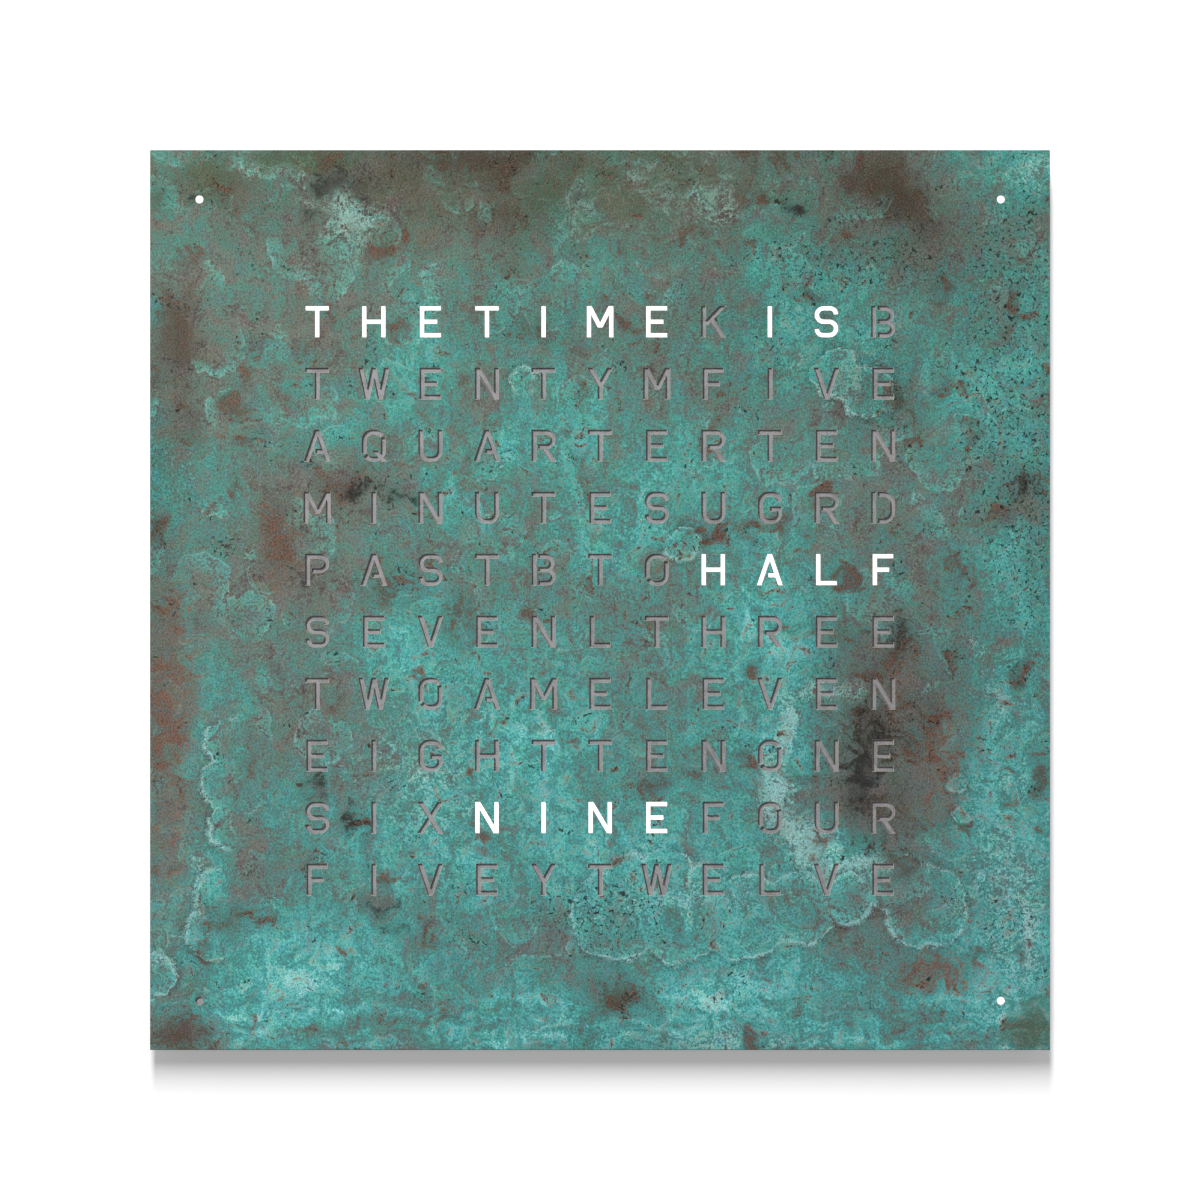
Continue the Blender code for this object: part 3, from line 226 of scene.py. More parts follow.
class Graph:
    """The shader graph of one material."""

    def __init__(self, name: str, flat: bool = False) -> None:
        """Start a material with a plain Principled shader.

        Args:
            name: The material's name.
            flat: Whether its patterns are drawn across the plate alone, in x and z, which is quicker.
        """
        self.dimensions = "2D" if flat else "3D"
        self.material = bpy.data.materials.new(name)
        self.material.use_nodes = True
        self.tree = self.material.node_tree
        self.shader = self.tree.nodes["Principled BSDF"]

    def node(
        self,
        kind: str,
        settings: Mapping[str, object] | None = None,
        sockets: Mapping[str | int, object] | None = None,
        out: str | int = 0,
    ) -> Value:
        """Add a node.

        Args:
            kind: The node's type.
            settings: Its own settings, a ramp's stops among them, which are set first.
            sockets: The value or link of each input.
            out: The output that is wanted.

        Returns:
            That output.
        """
        made = self.tree.nodes.new(kind)
        for key, value in (settings or {}).items():
            if key == "stops":
                self.set_stops(made.color_ramp, value)
            else:
                setattr(made, key, value)
        for key, value in (sockets or {}).items():
            self.feed(made.inputs[key], value)
        return Value(self, made.outputs[out])

    def set_stops(self, ramp: bpy.types.ColorRamp, stops: Sequence[tuple[float, Colour]]) -> None:
        """Set a colour ramp's stops.

        Args:
            ramp: The colour ramp.
            stops: Its stops, each a place and a colour.
        """
        while len(ramp.elements) < len(stops):
            ramp.elements.new(1.0)
        for element, (place, colour) in zip(ramp.elements, stops):
            element.position = place
            element.color = (*colour, 1.0)

    def feed(self, socket: bpy.types.NodeSocket, value: object) -> None:
        """Link or set one input.

        Args:
            socket: The input.
            value: An output to link, or a number, colour or vector to set.
        """
        if isinstance(value, Value):
            self.tree.links.new(value.socket, socket)
        elif isinstance(value, (int, float)):
            socket.default_value = value
        else:
            parts = tuple(value)
            wanted = len(socket.default_value)
            socket.default_value = parts + (1.0,) * (wanted - len(parts))

    def set(self, **sockets: object) -> "Graph":
        """Set or link inputs of the shader, named with underscores for spaces.

        Args:
            sockets: The value or link of each input.

        Returns:
            This graph.
        """
        for key, value in sockets.items():
            self.feed(self.shader.inputs[key.replace("_", " ")], value)
        return self

    def place(self) -> Value:
        """Find the point on the piece in millimetres.

        Returns:
            The point, with z in the place of y where the graph is flat.
        """
        point = self.node("ShaderNodeTexCoord", out="Object")
        if self.dimensions == "2D":
            sockets = {0: self.part(point, "X"), 1: self.part(point, "Z")}
            point = self.node("ShaderNodeCombineXYZ", sockets=sockets)
        return self.scaled(point, 1 / MM)

    def part(self, vector: Value, name: str) -> Value:
        """Return the X, Y or Z part of a vector."""
        return self.node("ShaderNodeSeparateXYZ", sockets={0: vector}, out=name)

    def vectors(self, operation: str, *inputs: Value | Colour, out: str | int = 0) -> Value:
        """Return the result of a Vector Math node."""
        return self.node("ShaderNodeVectorMath", {"operation": operation}, dict(enumerate(inputs)), out)

    def scaled(self, vector: Value, scale: Value | float) -> Value:
        """Return a vector or a colour times a number."""
        return self.node("ShaderNodeVectorMath", {"operation": "SCALE"}, {0: vector, "Scale": scale})

    def distance(self, point: Value, x: float, z: float) -> Value:
        """Return how far the points of a flat graph lie from a place."""
        return self.vectors("DISTANCE", point, (x, z, 0), out="Value")

    def noise(
        self, vector: Value, size: float, detail: float = 2.0, rough: float = 0.5, out: str = "Fac"
    ) -> Value:
        """Return fractal noise.

        Args:
            vector: The point that it is read at.
            size: The width of its largest blobs, in the point's unit.
            detail: How many finer layers are added.
            rough: How strong they are.
            out: The output that is wanted.

        Returns:
            The noise.
        """
        sockets = {"Vector": vector, "Scale": 1 / size, "Detail": detail, "Roughness": rough}
        return self.node("ShaderNodeTexNoise", {"noise_dimensions": self.dimensions}, sockets, out)

    def cells(self, vector: Value, size: float, random: float = 1.0, out: str = "Distance") -> Value:
        """Add a cell pattern.

        Args:
            vector: The point that it is read at.
            size: The width of a cell, in the point's unit.
            random: How far the cells stray from a grid, from 0 to 1.
            out: The output that is wanted.

        Returns:
            The distance to the nearest cell's middle, or the cell's colour.
        """
        sockets = {"Vector": vector, "Scale": 1 / size, "Randomness": random}
        settings = {"feature": "F1", "voronoi_dimensions": self.dimensions}
        return self.node("ShaderNodeTexVoronoi", settings, sockets, out)

    def bent(self, vector: Value, size: float, reach: float) -> Value:
        """Return points pushed about by noise, so that what is drawn at them gets wavy edges.

        Args:
            vector: The points.
            size: The width of the waves.
            reach: How far they push.

        Returns:
            The moved points.
        """
        wave = self.noise(vector, size, 2.0, 0.6, "Color")
        centred = self.vectors("SUBTRACT", wave, (0.5, 0.5, 0.5))
        return self.vectors("MULTIPLY_ADD", centred, (2 * reach,) * 3, vector)

    def stretched(self, vector: Value, scale: tuple[float, float, float]) -> Value:
        """Return points scaled along each axis."""
        return self.vectors("MULTIPLY", vector, scale)

    def mixed(self, factor: Value | float, first: Value | Colour, second: Value | Colour) -> Value:
        """Return a mix of two colours."""
        sockets = {0: factor, 6: first, 7: second}
        return self.node("ShaderNodeMix", {"data_type": "RGBA"}, sockets, 2)

    def relief(self, height: Value, depth: float, strength: float = 1.0) -> "Graph":
        """Give the surface relief.

        Args:
            height: The height, from 0 to 1.
            depth: The real depth that a height of 1 stands for, in millimetres.
            strength: How much of it shows.

        Returns:
            This graph.
        """
        sockets = {"Strength": strength, "Distance": depth * MM, "Height": height}
        return self.set(Normal=self.node("ShaderNodeBump", {}, sockets))


class Sky(Graph):
    """The shader graph of the world, whose shader is the background."""

    def __init__(self, name: str) -> None:
        """Start a world.

        Args:
            name: The world's name.
        """
        self.dimensions = "3D"
        self.world = bpy.data.worlds.new(name)
        self.world.use_nodes = True
        self.tree = self.world.node_tree
        self.shader = self.tree.nodes["Background"]


# Finishes


@dataclass(frozen=True)
class Spot:
    """A soft oval on the plate: its centre, its half sizes, its turn in degrees and how strong it is."""

    x: float
    z: float
    wide: float
    high: float
    turn: float = 0.0
    force: float = 1.0


def spots(*rows: Sequence[float]) -> tuple[Spot, ...]:
    """Return soft ovals from rows of their values."""
    return tuple(Spot(*row) for row in rows)


class SpotField:
    """Soft ovals over a flat plate, which share a few turned and stretched copies of its points."""

    RATIOS = (1.0, 2.0, 4.0)
    TURN_STEP = 45
    REACH = 1.7

    def __init__(self, graph: Graph, point: Value) -> None:
        """Start a field.

        Args:
            graph: The graph.
            point: The point on the plate in millimetres.
        """
        self.graph = graph
        self.point = point
        self.copies: dict[tuple[float, int], Value] = {}

    def copy(self, ratio: float, turn: int) -> Value:
        """Make a copy of the points on which turned ovals are round, or find the one made before.

        Args:
            ratio: How many times longer than high the ovals are.
            turn: How far they are turned, in degrees.

        Returns:
            The copy.
        """
        if (ratio, turn) not in self.copies:
            sockets = {"Vector": self.point, "Rotation": (0, 0, math.radians(turn)), "Scale": (ratio, 1, 1)}
            copy = self.graph.node("ShaderNodeMapping", {"vector_type": "TEXTURE"}, sockets)
            self.copies[ratio, turn] = copy
        return self.copies[ratio, turn]

    def cover(self, spots: Sequence[Spot]) -> Value:
        """Draw a set of spots.

        Args:
            spots: The spots.

        Returns:
            How strongly each point is covered by the strongest spot there, 0 where there is none.
        """
        total: Value | None = None
        for spot in spots:
            long, short, turn = spot.wide, spot.high, spot.turn
            if short > long:
                long, short, turn = short, long, turn + 90
            ratio = min(self.RATIOS, key=lambda known: abs(math.log(known * short / long)))
            turn = 0 if ratio == 1 else round(turn / self.TURN_STEP) * self.TURN_STEP % 180
            radius = math.sqrt(long * short / ratio)
            back = math.radians(-turn)
            x = (spot.x * math.cos(back) - spot.z * math.sin(back)) / ratio
            z = spot.x * math.sin(back) + spot.z * math.cos(back)
            away = self.graph.distance(self.copy(ratio, turn), x, z)
            cover = away.math("MULTIPLY_ADD", -spot.force / (self.REACH * radius), spot.force)
            total = cover.most(0.0 if total is None else total)
        return total


class Weather:
    """The points and noises that the layers of the patina share."""

    def __init__(self, graph: Graph) -> None:
        """Add them to a graph.

        Args:
            graph: The graph, which is flat.
        """
        self.graph = graph
        self.flat = graph.place()
        self.wavy = graph.bent(self.flat, 22, 8)
        self.ragged = graph.bent(self.wavy, 4, 1.7)
        self.field = SpotField(graph, self.wavy)
        self.region = graph.noise(self.wavy, 75, 2, 0.55)
        self.blotch = graph.noise(self.ragged, 17, 5, 0.68)
        self.fleck = graph.noise(self.ragged, 4.2, 3, 0.7)
        self.grain = graph.noise(self.flat, 1.5, 2, 0.9)
        self.dust = graph.noise(graph.stretched(self.flat, (1.13, 0.91, 1)), 0.85, 1, 0.8)
        self.streak = graph.noise(graph.stretched(self.wavy, (0.16, 1, 1)), 7, 3, 0.6)
        self.drip = graph.noise(graph.stretched(self.wavy, (1, 0.2, 1)), 8, 3, 0.65)


@dataclass(frozen=True)
class Patina:
    """Verdigris on the front plate: stippled turquoise over taupe, with oxide, crusts and pits."""

    tones: tuple[tuple[float, Colour], ...] = (
        (0.00, shade(52, 52, 48)),
        (0.20, shade(88, 82, 77)),
        (0.38, shade(99, 108, 101)),
        (0.50, shade(90, 122, 115)),
        (0.62, shade(72, 138, 131)),
        (0.76, shade(74, 163, 156)),
        (0.90, shade(100, 192, 185)),
        (1.00, shade(154, 218, 210)),
    )
    taupe: Colour = shade(120, 108, 101)
    turquoise: Colour = shade(86, 180, 170)
    pale: Colour = shade(160, 208, 203)
    oxide: Colour = shade(84, 69, 58)
    rust: Colour = shade(136, 93, 78)
    soot: Colour = shade(46, 46, 44)
    olive: Colour = shade(78, 84, 54)
    pit: Colour = shade(26, 34, 31)
    cut_edge: Colour = shade(92, 74, 62)
    creeping: Colour = shade(74, 112, 104)
    bluish: Colour = (1.005, 0.985, 1.07)
    greenish: Colour = (0.995, 1.015, 0.925)
    bright_spots: tuple[Spot, ...] = spots(
        (-189, 47, 26, 20, 0, 0.7), (-90, 117, 18, 24, -20, 0.5), (-26, 83, 34, 18, 0, 0.65),
        (24, 50, 30, 44, 0, 0.8), (-88, -46, 26, 40, 0, 0.6), (-40, -84, 46, 36, 0, 1.1),
        (76, -8, 34, 30, 0, 1.0), (-70, -110, 70, 40, 0, 0.8), (20, -130, 66, 40, 0, 0.9),
        (94, -77, 16, 34, -10, 1.1), (112, -124, 26, 12, -30, 1.1), (70, -110, 30, 44, 0, 0.8),
        (-150, -190, 70, 30, 0, 1.0), (120, 130, 90, 60, 0, 0.2), (-192, -150, 10, 40, 0, 1.1),
        (40, -207, 200, 16, 0, 0.9), (202, -110, 24, 60, 0, 0.8), (205, -195, 34, 34, 0, 1.5),
        (218, 214, 16, 16, 0, 0.8), (212, 100, 20, 60, 0, 0.2), (208, -20, 22, 40, 0, 0.7),
    )
    dull_spots: tuple[Spot, ...] = spots(
        (-150, 150, 60, 46, 0, 0.7), (-60, 205, 110, 22, 0, 0.9), (-20, 190, 24, 40, 0, 0.5),
        (150, 200, 34, 26, -40, 1.0), (-165, 10, 36, 50, 0, 0.9), (-142, -64, 34, 40, 0, 0.7),
        (-196, 200, 34, 26, 0, 0.9), (-130, 55, 34, 30, 0, 0.6), (-205, 130, 14, 50, 0, 0.8),
        (150, 60, 30, 70, 0, 0.5), (150, -60, 24, 52, 0, 0.55), (40, 0, 18, 24, 0, 0.5),
        (-20, 20, 40, 14, -25, 0.4), (-218, -40, 8, 60, 0, 0.9), (-190, -110, 26, 30, 0, 0.5),
        (160, -146, 24, 24, 0, 0.4), (-25, -165, 20, 10, 0, 0.4), (-215, -212, 16, 16, 0, 0.6),
    )
    oxide_spots: tuple[Spot, ...] = spots(
        (-213, 136, 9, 24), (-205, 92, 9, 13, 0, 0.7), (-184, 100, 8, 9, 0, 0.9),
        (-160, 31, 11, 19, 0, 0.75), (-127, 58, 15, 15, 0, 0.8), (-60, 221, 60, 6, 0, 1.1),
        (80, 224, 60, 4, 0, 0.9), (148, -24, 14, 18, 0, 0.8), (134, -66, 20, 22, 0, 1.0),
        (164, -66, 22, 34, 0, 0.75), (140, -102, 18, 18, 0, 0.9), (154, -134, 16, 9, 0, 0.9),
        (27, -92, 10, 7, 0, 0.9), (47, -86, 12, 9, 0, 0.6), (221, -89, 6, 12, 0, 0.9),
        (150, 202, 24, 10, -45, 1.0), (128, 214, 16, 6, 0, 0.9), (154, 96, 11, 8, 0, 0.8),
        (213, 56, 9, 12, 0, 0.9), (-188, -160, 16, 10, 0, 0.8), (-214, -219, 16, 10, 0, 1.2),
        (-219, -60, 9, 90, 0, 0.8), (-70, -8, 20, 12, 45, 0.7), (-105, 5, 14, 16, 0, 0.7),
        (-30, 135, 14, 7, -45, 0.7), (10, -200, 18, 9, 0, 0.9), (-50, 198, 10, 16, 0, 0.8),
        (170, -184, 16, 9, 0, 0.9),
    )
    rust_spots: tuple[Spot, ...] = spots(
        (172, -80, 16, 26, 10, 1.0), (169, -185, 17, 10, 10, 1.0), (-214, -50, 14, 60, 0, 0.75),
        (-214, -122, 10, 44, 0, 0.75), (-125, 50, 18, 22, 0, 0.35), (-160, 30, 14, 26, 0, 0.4),
        (150, -40, 20, 20, 0, 0.5), (-186, 90, 10, 14, 0, 0.5),
    )
    soot_spots: tuple[Spot, ...] = spots(
        (131, -88, 8, 32, 0, 1.0), (140, -66, 9, 12, 0, 0.8), (-132, 208, 15, 6, 0, 1.1),
        (-147, 193, 5, 4, 0, 0.8), (-11, 202, 5, 6, 0, 0.8), (97, 196, 6, 4, 0, 0.9),
        (-111, -153, 9, 5, 0, 1.0), (-143, -92, 5, 10, 0, 0.8), (-126, -109, 5, 9, 0, 0.9),
        (-118, -128, 4, 12, 0, 0.8), (-100, -167, 4, 12, 45, 0.7), (150, -16, 12, 8, 0, 0.7),
        (213, 54, 9, 7, 0, 0.8), (-118, 54, 9, 5, 0, 1.0), (-95, 52, 12, 7, 0, 0.9),
        (-203, 203, 5, 4, 0, 0.9),
    )
    olive_spots: tuple[Spot, ...] = spots(
        (-196, 211, 34, 16, 0, 0.75), (-150, 220, 60, 5, 0, 1.0), (30, 222, 60, 5, 0, 0.8),
        (-20, 208, 240, 26, 0, 0.66), (216, -214, 14, 16, 0, 1.0), (8, -198, 16, 9, 0, 0.7),
        (122, -17, 11, 12, 0, 0.6), (-224, 205, 5, 24, 0, 0.8), (146, 208, 30, 14, -45, 0.7),
    )
    haze_spots: tuple[Spot, ...] = spots(
        (-127, 192, 20, 13, -45, 1.0), (-160, 216, 24, 5, 0, 0.8), (-10, 196, 10, 22, 0, 0.7),
        (40, 205, 40, 20, 0, 0.6), (-85, -86, 34, 34, 0, 0.5), (204, -150, 24, 76, 0, 0.55),
        (93, -66, 6, 20, 0, 1.2), (86, -96, 10, 17, 0, 1.3), (104, -121, 18, 9, -45, 1.3),
        (126, -134, 22, 6, 0, 1.2), (114, -46, 22, 5, 0, 1.0), (197, -54, 3, 24, 0, 0.9),
        (188, -24, 3, 12, 45, 0.8), (-220, -178, 6, 5, 0, 0.9), (124, 112, 18, 7, 45, 0.7),
        (40, -150, 60, 9, 0, 0.6), (213, -168, 5, 26, 0, 1.1), (-201, -150, 4, 24, 0, 0.8),
        (216, 216, 9, 9, 0, 0.8), (60, -222, 150, 3, 0, 0.7),
    )
    pit_spots: tuple[Spot, ...] = spots(
        (208, 100, 22, 110, 0, 1.6), (124, 168, 40, 14, 0, 1.3), (-60, 66, 12, 18, 0, 0.6),
        (0, -156, 34, 18, 0, 1.4), (208, -160, 16, 26, 0, 0.8), (150, -60, 26, 50, 0, 0.6),
        (-212, -190, 12, 22, 0, 0.6), (-200, 206, 26, 14, 0, 0.7), (0, 218, 200, 6, 0, 0.5),
        (60, -196, 90, 14, 0, 0.4), (-110, 55, 30, 14, 0, 0.8),
    )
    worn_spots: tuple[Spot, ...] = spots(
        (-168, -90, 9, 50, 0, 1.6), (-174, -156, 10, 30, 0, 1.6),
    )
    edge_shades: tuple[Spot, ...] = spots(
        (-70, 226, 180, 14, 0, 1.0), (-226, 60, 5, 220, 0, 1.0), (-130, 205, 90, 20, 0, 0.6),
        (146, 196, 50, 34, -45, 1.1), (-28, 196, 34, 28, 0, 0.8), (-34, 142, 30, 20, 0, 0.6),
        (84, 142, 60, 34, 0, 0.6), (140, 112, 26, 26, 0, 0.8), (120, 190, 110, 44, 0, 0.6),
        (145, -55, 46, 60, 0, 0.5), (0, -226, 220, 5, 0, 0.6), (227, 0, 4, 220, 0, 0.5),
    )
    crust_rings: tuple[tuple[float, float, float], ...] = (
        (14, -138, 11), (33, -135, 12), (52, -142, 10), (8, -158, 22), (40, -162, 20), (72, -158, 21),
        (100, -154, 18), (124, -150, 13), (163, -153, 21), (148, -142, 14), (134, 104, 13),
        (118, 114, 12), (-184, -72, 13), (-187, -93, 13), (-183, -114, 13), (-190, -147, 13),
        (-193, -166, 14), (-223, -187, 11), (-38, 110, 7), (42, 28, 9), (180, -108, 4), (189, -140, 3),
        (178, -92, 5),
    )

    def ring_distance(self, graph: Graph, point: Value) -> Value:
        """Measure how far a point lies outside the lobes of the crust.

        Args:
            graph: The graph.
            point: The point.

        Returns:
            The distance in millimetres, below 0 inside a lobe.
        """
        nearest: Value | None = None
        for x, z, radius in self.crust_rings:
            away = graph.distance(point, x, z) - radius
            nearest = away if nearest is None else nearest.least(away)
        return nearest

    def ground(self, weather: Weather) -> tuple[Value, Value]:
        """Stipple the ground.

        Args:
            weather: The shared points and noises.

        Returns:
            The ground's colour, and how far it is green.
        """
        graph, grain = weather.graph, weather.grain
        bright = weather.field.cover(self.bright_spots)
        dull = weather.field.cover(self.dull_spots)
        density = (weather.region - 0.5) * 1.5 + (weather.blotch - 0.5) * 2.4 + (weather.fleck - 0.5) * 2.2
        density = density + (weather.drip - 0.5) * 1.1
        density = density + bright * 0.75 - dull * 0.75
        low_band = graph.part(weather.flat, "Y").ramp(-185, -212)
        density = density + (weather.streak - 0.5) * low_band * 2.6
        stipple = density * 0.33 + (grain - 0.5) * 0.62 + 0.585
        colour = graph.node("ShaderNodeValToRGB", {"stops": self.tones}, {0: stipple})
        bare = graph.noise(weather.wavy, 13, 4, 0.65) + (grain - 0.5) * 0.5 + dull * 0.10 - bright * 0.10
        colour = graph.mixed(bare.ramp(0.52, 0.68) * 0.48, colour, self.taupe)
        return colour, stipple.ramp(0.35, 0.75)

    def crusts(self, weather: Weather, colour: Value) -> tuple[Value, Value]:
        """Return the colour with the scalloped crusts on it, and the painted shadow just outside them.

        Args:
            weather: The shared points and noises.
            colour: The colour under the crusts.

        Returns:
            The new colour and the painted shadow.
        """
        graph, flat = weather.graph, weather.flat
        fleck, grain, dust = weather.fleck, weather.grain, weather.dust
        front = self.ring_distance(graph, graph.bent(graph.bent(flat, 16, 4.2), 4, 0.8))
        inside = front.ramp(0.4, -0.4)
        worn = graph.noise(flat, 24, 2, 0.6).ramp(0.30, 0.44)
        worn = worn * weather.field.cover(self.worn_spots).ramp(0.4, 0.1)
        crust = inside * front.ramp(-9.0, 0.0) * worn * fleck.frayed(0.36, 0.60, (grain, 0.9))
        colour = graph.mixed(crust * 0.85, colour, self.turquoise)
        # Pale crust along each lobe's rim: partly its own colour, partly a painted highlight where light
        # would catch the crust's edge.
        width = graph.noise(flat, 14, 2, 0.5).ramp(0.36, 0.66, 0.6, 2.3)
        rim = (1 - (abs(front) / width).least(1.0)) * worn * fleck.frayed(0.34, 0.54, (dust, 0.5))
        colour = graph.mixed(rim * 0.9, colour, self.pale)
        # Painted shadow: a darker band a few millimetres wide just outside each crust lobe.
        painted_crust_shadow = front.ramp(4.5, 0.8) * (1 - inside) * worn * 0.26
        return self.flakes(weather, colour), painted_crust_shadow

    def flakes(self, weather: Weather, colour: Value) -> Value:
        """Lay on the faint flakes that lie all over the plate, and the veins round them.

        Args:
            weather: The shared points and noises.
            colour: The colour under them.

        Returns:
            The new colour.
        """
        graph, fleck = weather.graph, weather.fleck
        lobes = (graph.cells(weather.wavy, 30) - 0.46) * 30
        kept = graph.noise(weather.flat, 40, 2, 0.5).ramp(0.47, 0.56)
        flake = lobes.ramp(0.5, -0.5) * lobes.ramp(-13.0, 0.0) * kept
        flake = flake * fleck.frayed(0.34, 0.6, (weather.grain, 0.9))
        colour = graph.mixed(flake * 0.55, colour, self.turquoise)
        vein = (1 - (abs(lobes) / 0.8).least(1.0)) * kept
        return graph.mixed(vein * fleck.ramp(0.4, 0.55) * 0.35, colour, self.pale)

    def stains(self, weather: Weather, colour: Value) -> tuple[Value, Value, Value]:
        """Return the colour with haze, olive, oxide, rust and soot on it.

        Args:
            weather: The shared points and noises.
            colour: The colour under the stains.

        Returns:
            The new colour, the oxide, and where oxide and rust come up away from their spots.
        """
        graph, cover = weather.graph, weather.field.cover
        blotch, fleck, grain, dust = weather.blotch, weather.fleck, weather.grain, weather.dust
        haze = cover(self.haze_spots).frayed(0.30, 1.0, (grain, 1.8), (fleck, 1.8))
        colour = graph.mixed(haze * 0.72, colour, self.pale)
        olive = cover(self.olive_spots).frayed(0.22, 0.8, (blotch, 1.0), (grain, 0.9))
        colour = graph.mixed(olive * 0.72, colour, self.olive)

        wild = graph.noise(weather.wavy, 24, 3, 0.6).ramp(0.56, 0.78)
        oxide = cover(self.oxide_spots).most(wild * 0.75)
        oxide = oxide.frayed(0.24, 0.95, (blotch, 2.2), (fleck, 1.8), (grain, 1.8))
        colour = graph.mixed(oxide * 0.86, colour, self.oxide)
        rust = cover(self.rust_spots).most(wild * 0.5)
        rust = rust.frayed(0.30, 1.05, (blotch, 1.8), (fleck, 2.8), (dust, 2.0))
        colour = graph.mixed(rust * 0.68, colour, self.rust)
        soot = cover(self.soot_spots).frayed(0.26, 0.95, (blotch, 1.4), (fleck, 1.4), (grain, 1.2))
        return graph.mixed(soot * 0.9, colour, self.soot), oxide, wild

    def pits(self, weather: Weather, colour: Value) -> Value:
        """Sink fine dark pits into the patina.

        Args:
            weather: The shared points and noises.
            colour: The colour round them.

        Returns:
            The new colour.
        """
        graph = weather.graph
        pitted = weather.field.cover(self.pit_spots)
        pitted = pitted.most(graph.noise(weather.wavy, 20, 2, 0.6).ramp(0.55, 0.75))
        pit = graph.noise(graph.bent(weather.flat, 5, 2.6), 2.0, 2, 0.65).ramp(0.42, 0.34)
        pit = pit * pitted.frayed(0.36, 0.80, (weather.fleck, 2.2), (weather.blotch, 2.0))
        return graph.mixed(pit * 0.92, colour, self.pit)

    def tinted(self, weather: Weather, colour: Value, across: Value, up: Value) -> Value:
        """Return the colour with a cast between blue and green that changes over the plate.

        Args:
            weather: The shared points and noises.
            colour: The colour without it.
            across: How far a point lies to the right of the middle.
            up: How far it lies above the middle.

        Returns:
            The new colour.
        """
        slope = up * 0.0006 - across * 0.0002
        cast = weather.graph.noise(weather.ragged, 11, 4, 0.75) + (weather.fleck - 0.5) * 0.5 + slope
        tint = weather.graph.mixed(cast.ramp(0.26, 0.74), self.bluish, self.greenish)
        return weather.graph.vectors("MULTIPLY", colour, tint)

    def sawn(self, graph: Graph, colour: Value, across: Value, up: Value) -> Value:
        """Return the colour with that of the bare metal on the plate's four narrow sides.

        Args:
            graph: The graph.
            colour: The front's colour.
            across: How far a point lies to the right of the middle.
            up: How far it lies above the middle.

        Returns:
            The new colour.
        """
        depth = graph.part(graph.node("ShaderNodeTexCoord", out="Object"), "Y") / MM
        edge_point = graph.node("ShaderNodeCombineXYZ", sockets={0: across + up, 1: depth})
        creep = graph.noise(edge_point, 3.2, 4, 0.7).ramp(0.42, 0.60)
        cut = graph.mixed(creep, self.cut_edge, self.creeping)
        half = cad_high[0] / MM
        return graph.mixed(abs(across).most(abs(up)).ramp(half - 0.2, half), colour, cut)

    def material(self) -> bpy.types.Material:
        """Build the shader.

        Returns:
            The material.
        """
        graph = Graph("patina_copper", flat=True)
        weather = Weather(graph)
        colour, cover = self.ground(weather)
        colour, painted_crust_shadow = self.crusts(weather, colour)
        colour, oxide, wild = self.stains(weather, colour)
        colour = self.pits(weather, colour)
        # Darkening: the edge spots' darker patina tone, the painted shadow just outside the crusts and the
        # darker wild patches.
        edge = weather.field.cover(self.edge_shades) * 0.34 + painted_crust_shadow + wild * 0.14
        speckle_and_painted_shadow = (weather.grain - 0.5) * 0.55 + (weather.dust - 0.5) * 1.3 + 1.03 - edge
        colour = graph.scaled(colour, speckle_and_painted_shadow)
        across, up = graph.part(weather.flat, "X"), graph.part(weather.flat, "Y")
        colour = self.tinted(weather, colour, across, up)
        colour = self.sawn(graph, colour, across, up)
        graph.set(Base_Color=colour, Specular_IOR_Level=0.3)
        graph.set(Roughness=(cover * 0.16 + 0.66 - oxide * 0.12), Metallic=oxide * 0.2)
        graph.relief(weather.grain + graph.noise(weather.flat, 6, 3, 0.6), 0.12, 0.7)
        return graph.material


@dataclass(frozen=True)
class LetterSheet:
    """Opal plastic seen at the bottom of an unlit letter, lightly dusted with the plate's oxide."""

    name: str = "opal_sheet"
    colour: Colour = shade(160, 158, 161)
    dusty: Colour = shade(138, 136, 138)

    def material(self) -> bpy.types.Material:
        """Build the shader.

        Returns:
            The material.
        """
        graph = Graph(self.name)
        point = graph.place()
        dust = graph.noise(point, 6, 3, 0.6) + (graph.noise(point, 0.8, 2, 0.6) - 0.5) * 0.6
        graph.set(Base_Color=graph.mixed(dust.ramp(0.38, 0.66), self.colour, self.dusty))
        graph.set(Roughness=dust.ramp(0.3, 0.7, 0.5, 0.64))
        graph.relief(graph.noise(point, 0.5, 2, 0.6), 0.02)
        return graph.material


@dataclass(frozen=True)
class LitSheet:
    """Opal plastic with its lamp on, dark behind the plate so that no light leaks past its edge."""

    name: str = "lit_sheet"
    colour: Colour = shade(250, 250, 248)
    glow: float = 1.3
    plate_back: float = 15.9
    fade: float = 0.05

    def material(self) -> bpy.types.Material:
        """Build the shader.

        Returns:
            The material.
        """
        graph = Graph(self.name)
        point = graph.place()
        even = graph.noise(point, 4, 2, 0.5).ramp(0.3, 0.7, 0.94, 1.0)
        light = graph.mixed(even, shade(235, 236, 238), WHITE)
        behind = graph.part(point, "Y").ramp(-self.plate_back - self.fade, -self.plate_back + self.fade)
        light = graph.mixed(behind, light, BLACK)
        graph.set(Base_Color=self.colour, Roughness=0.5, Emission_Color=light, Emission_Strength=self.glow)
        return graph.material


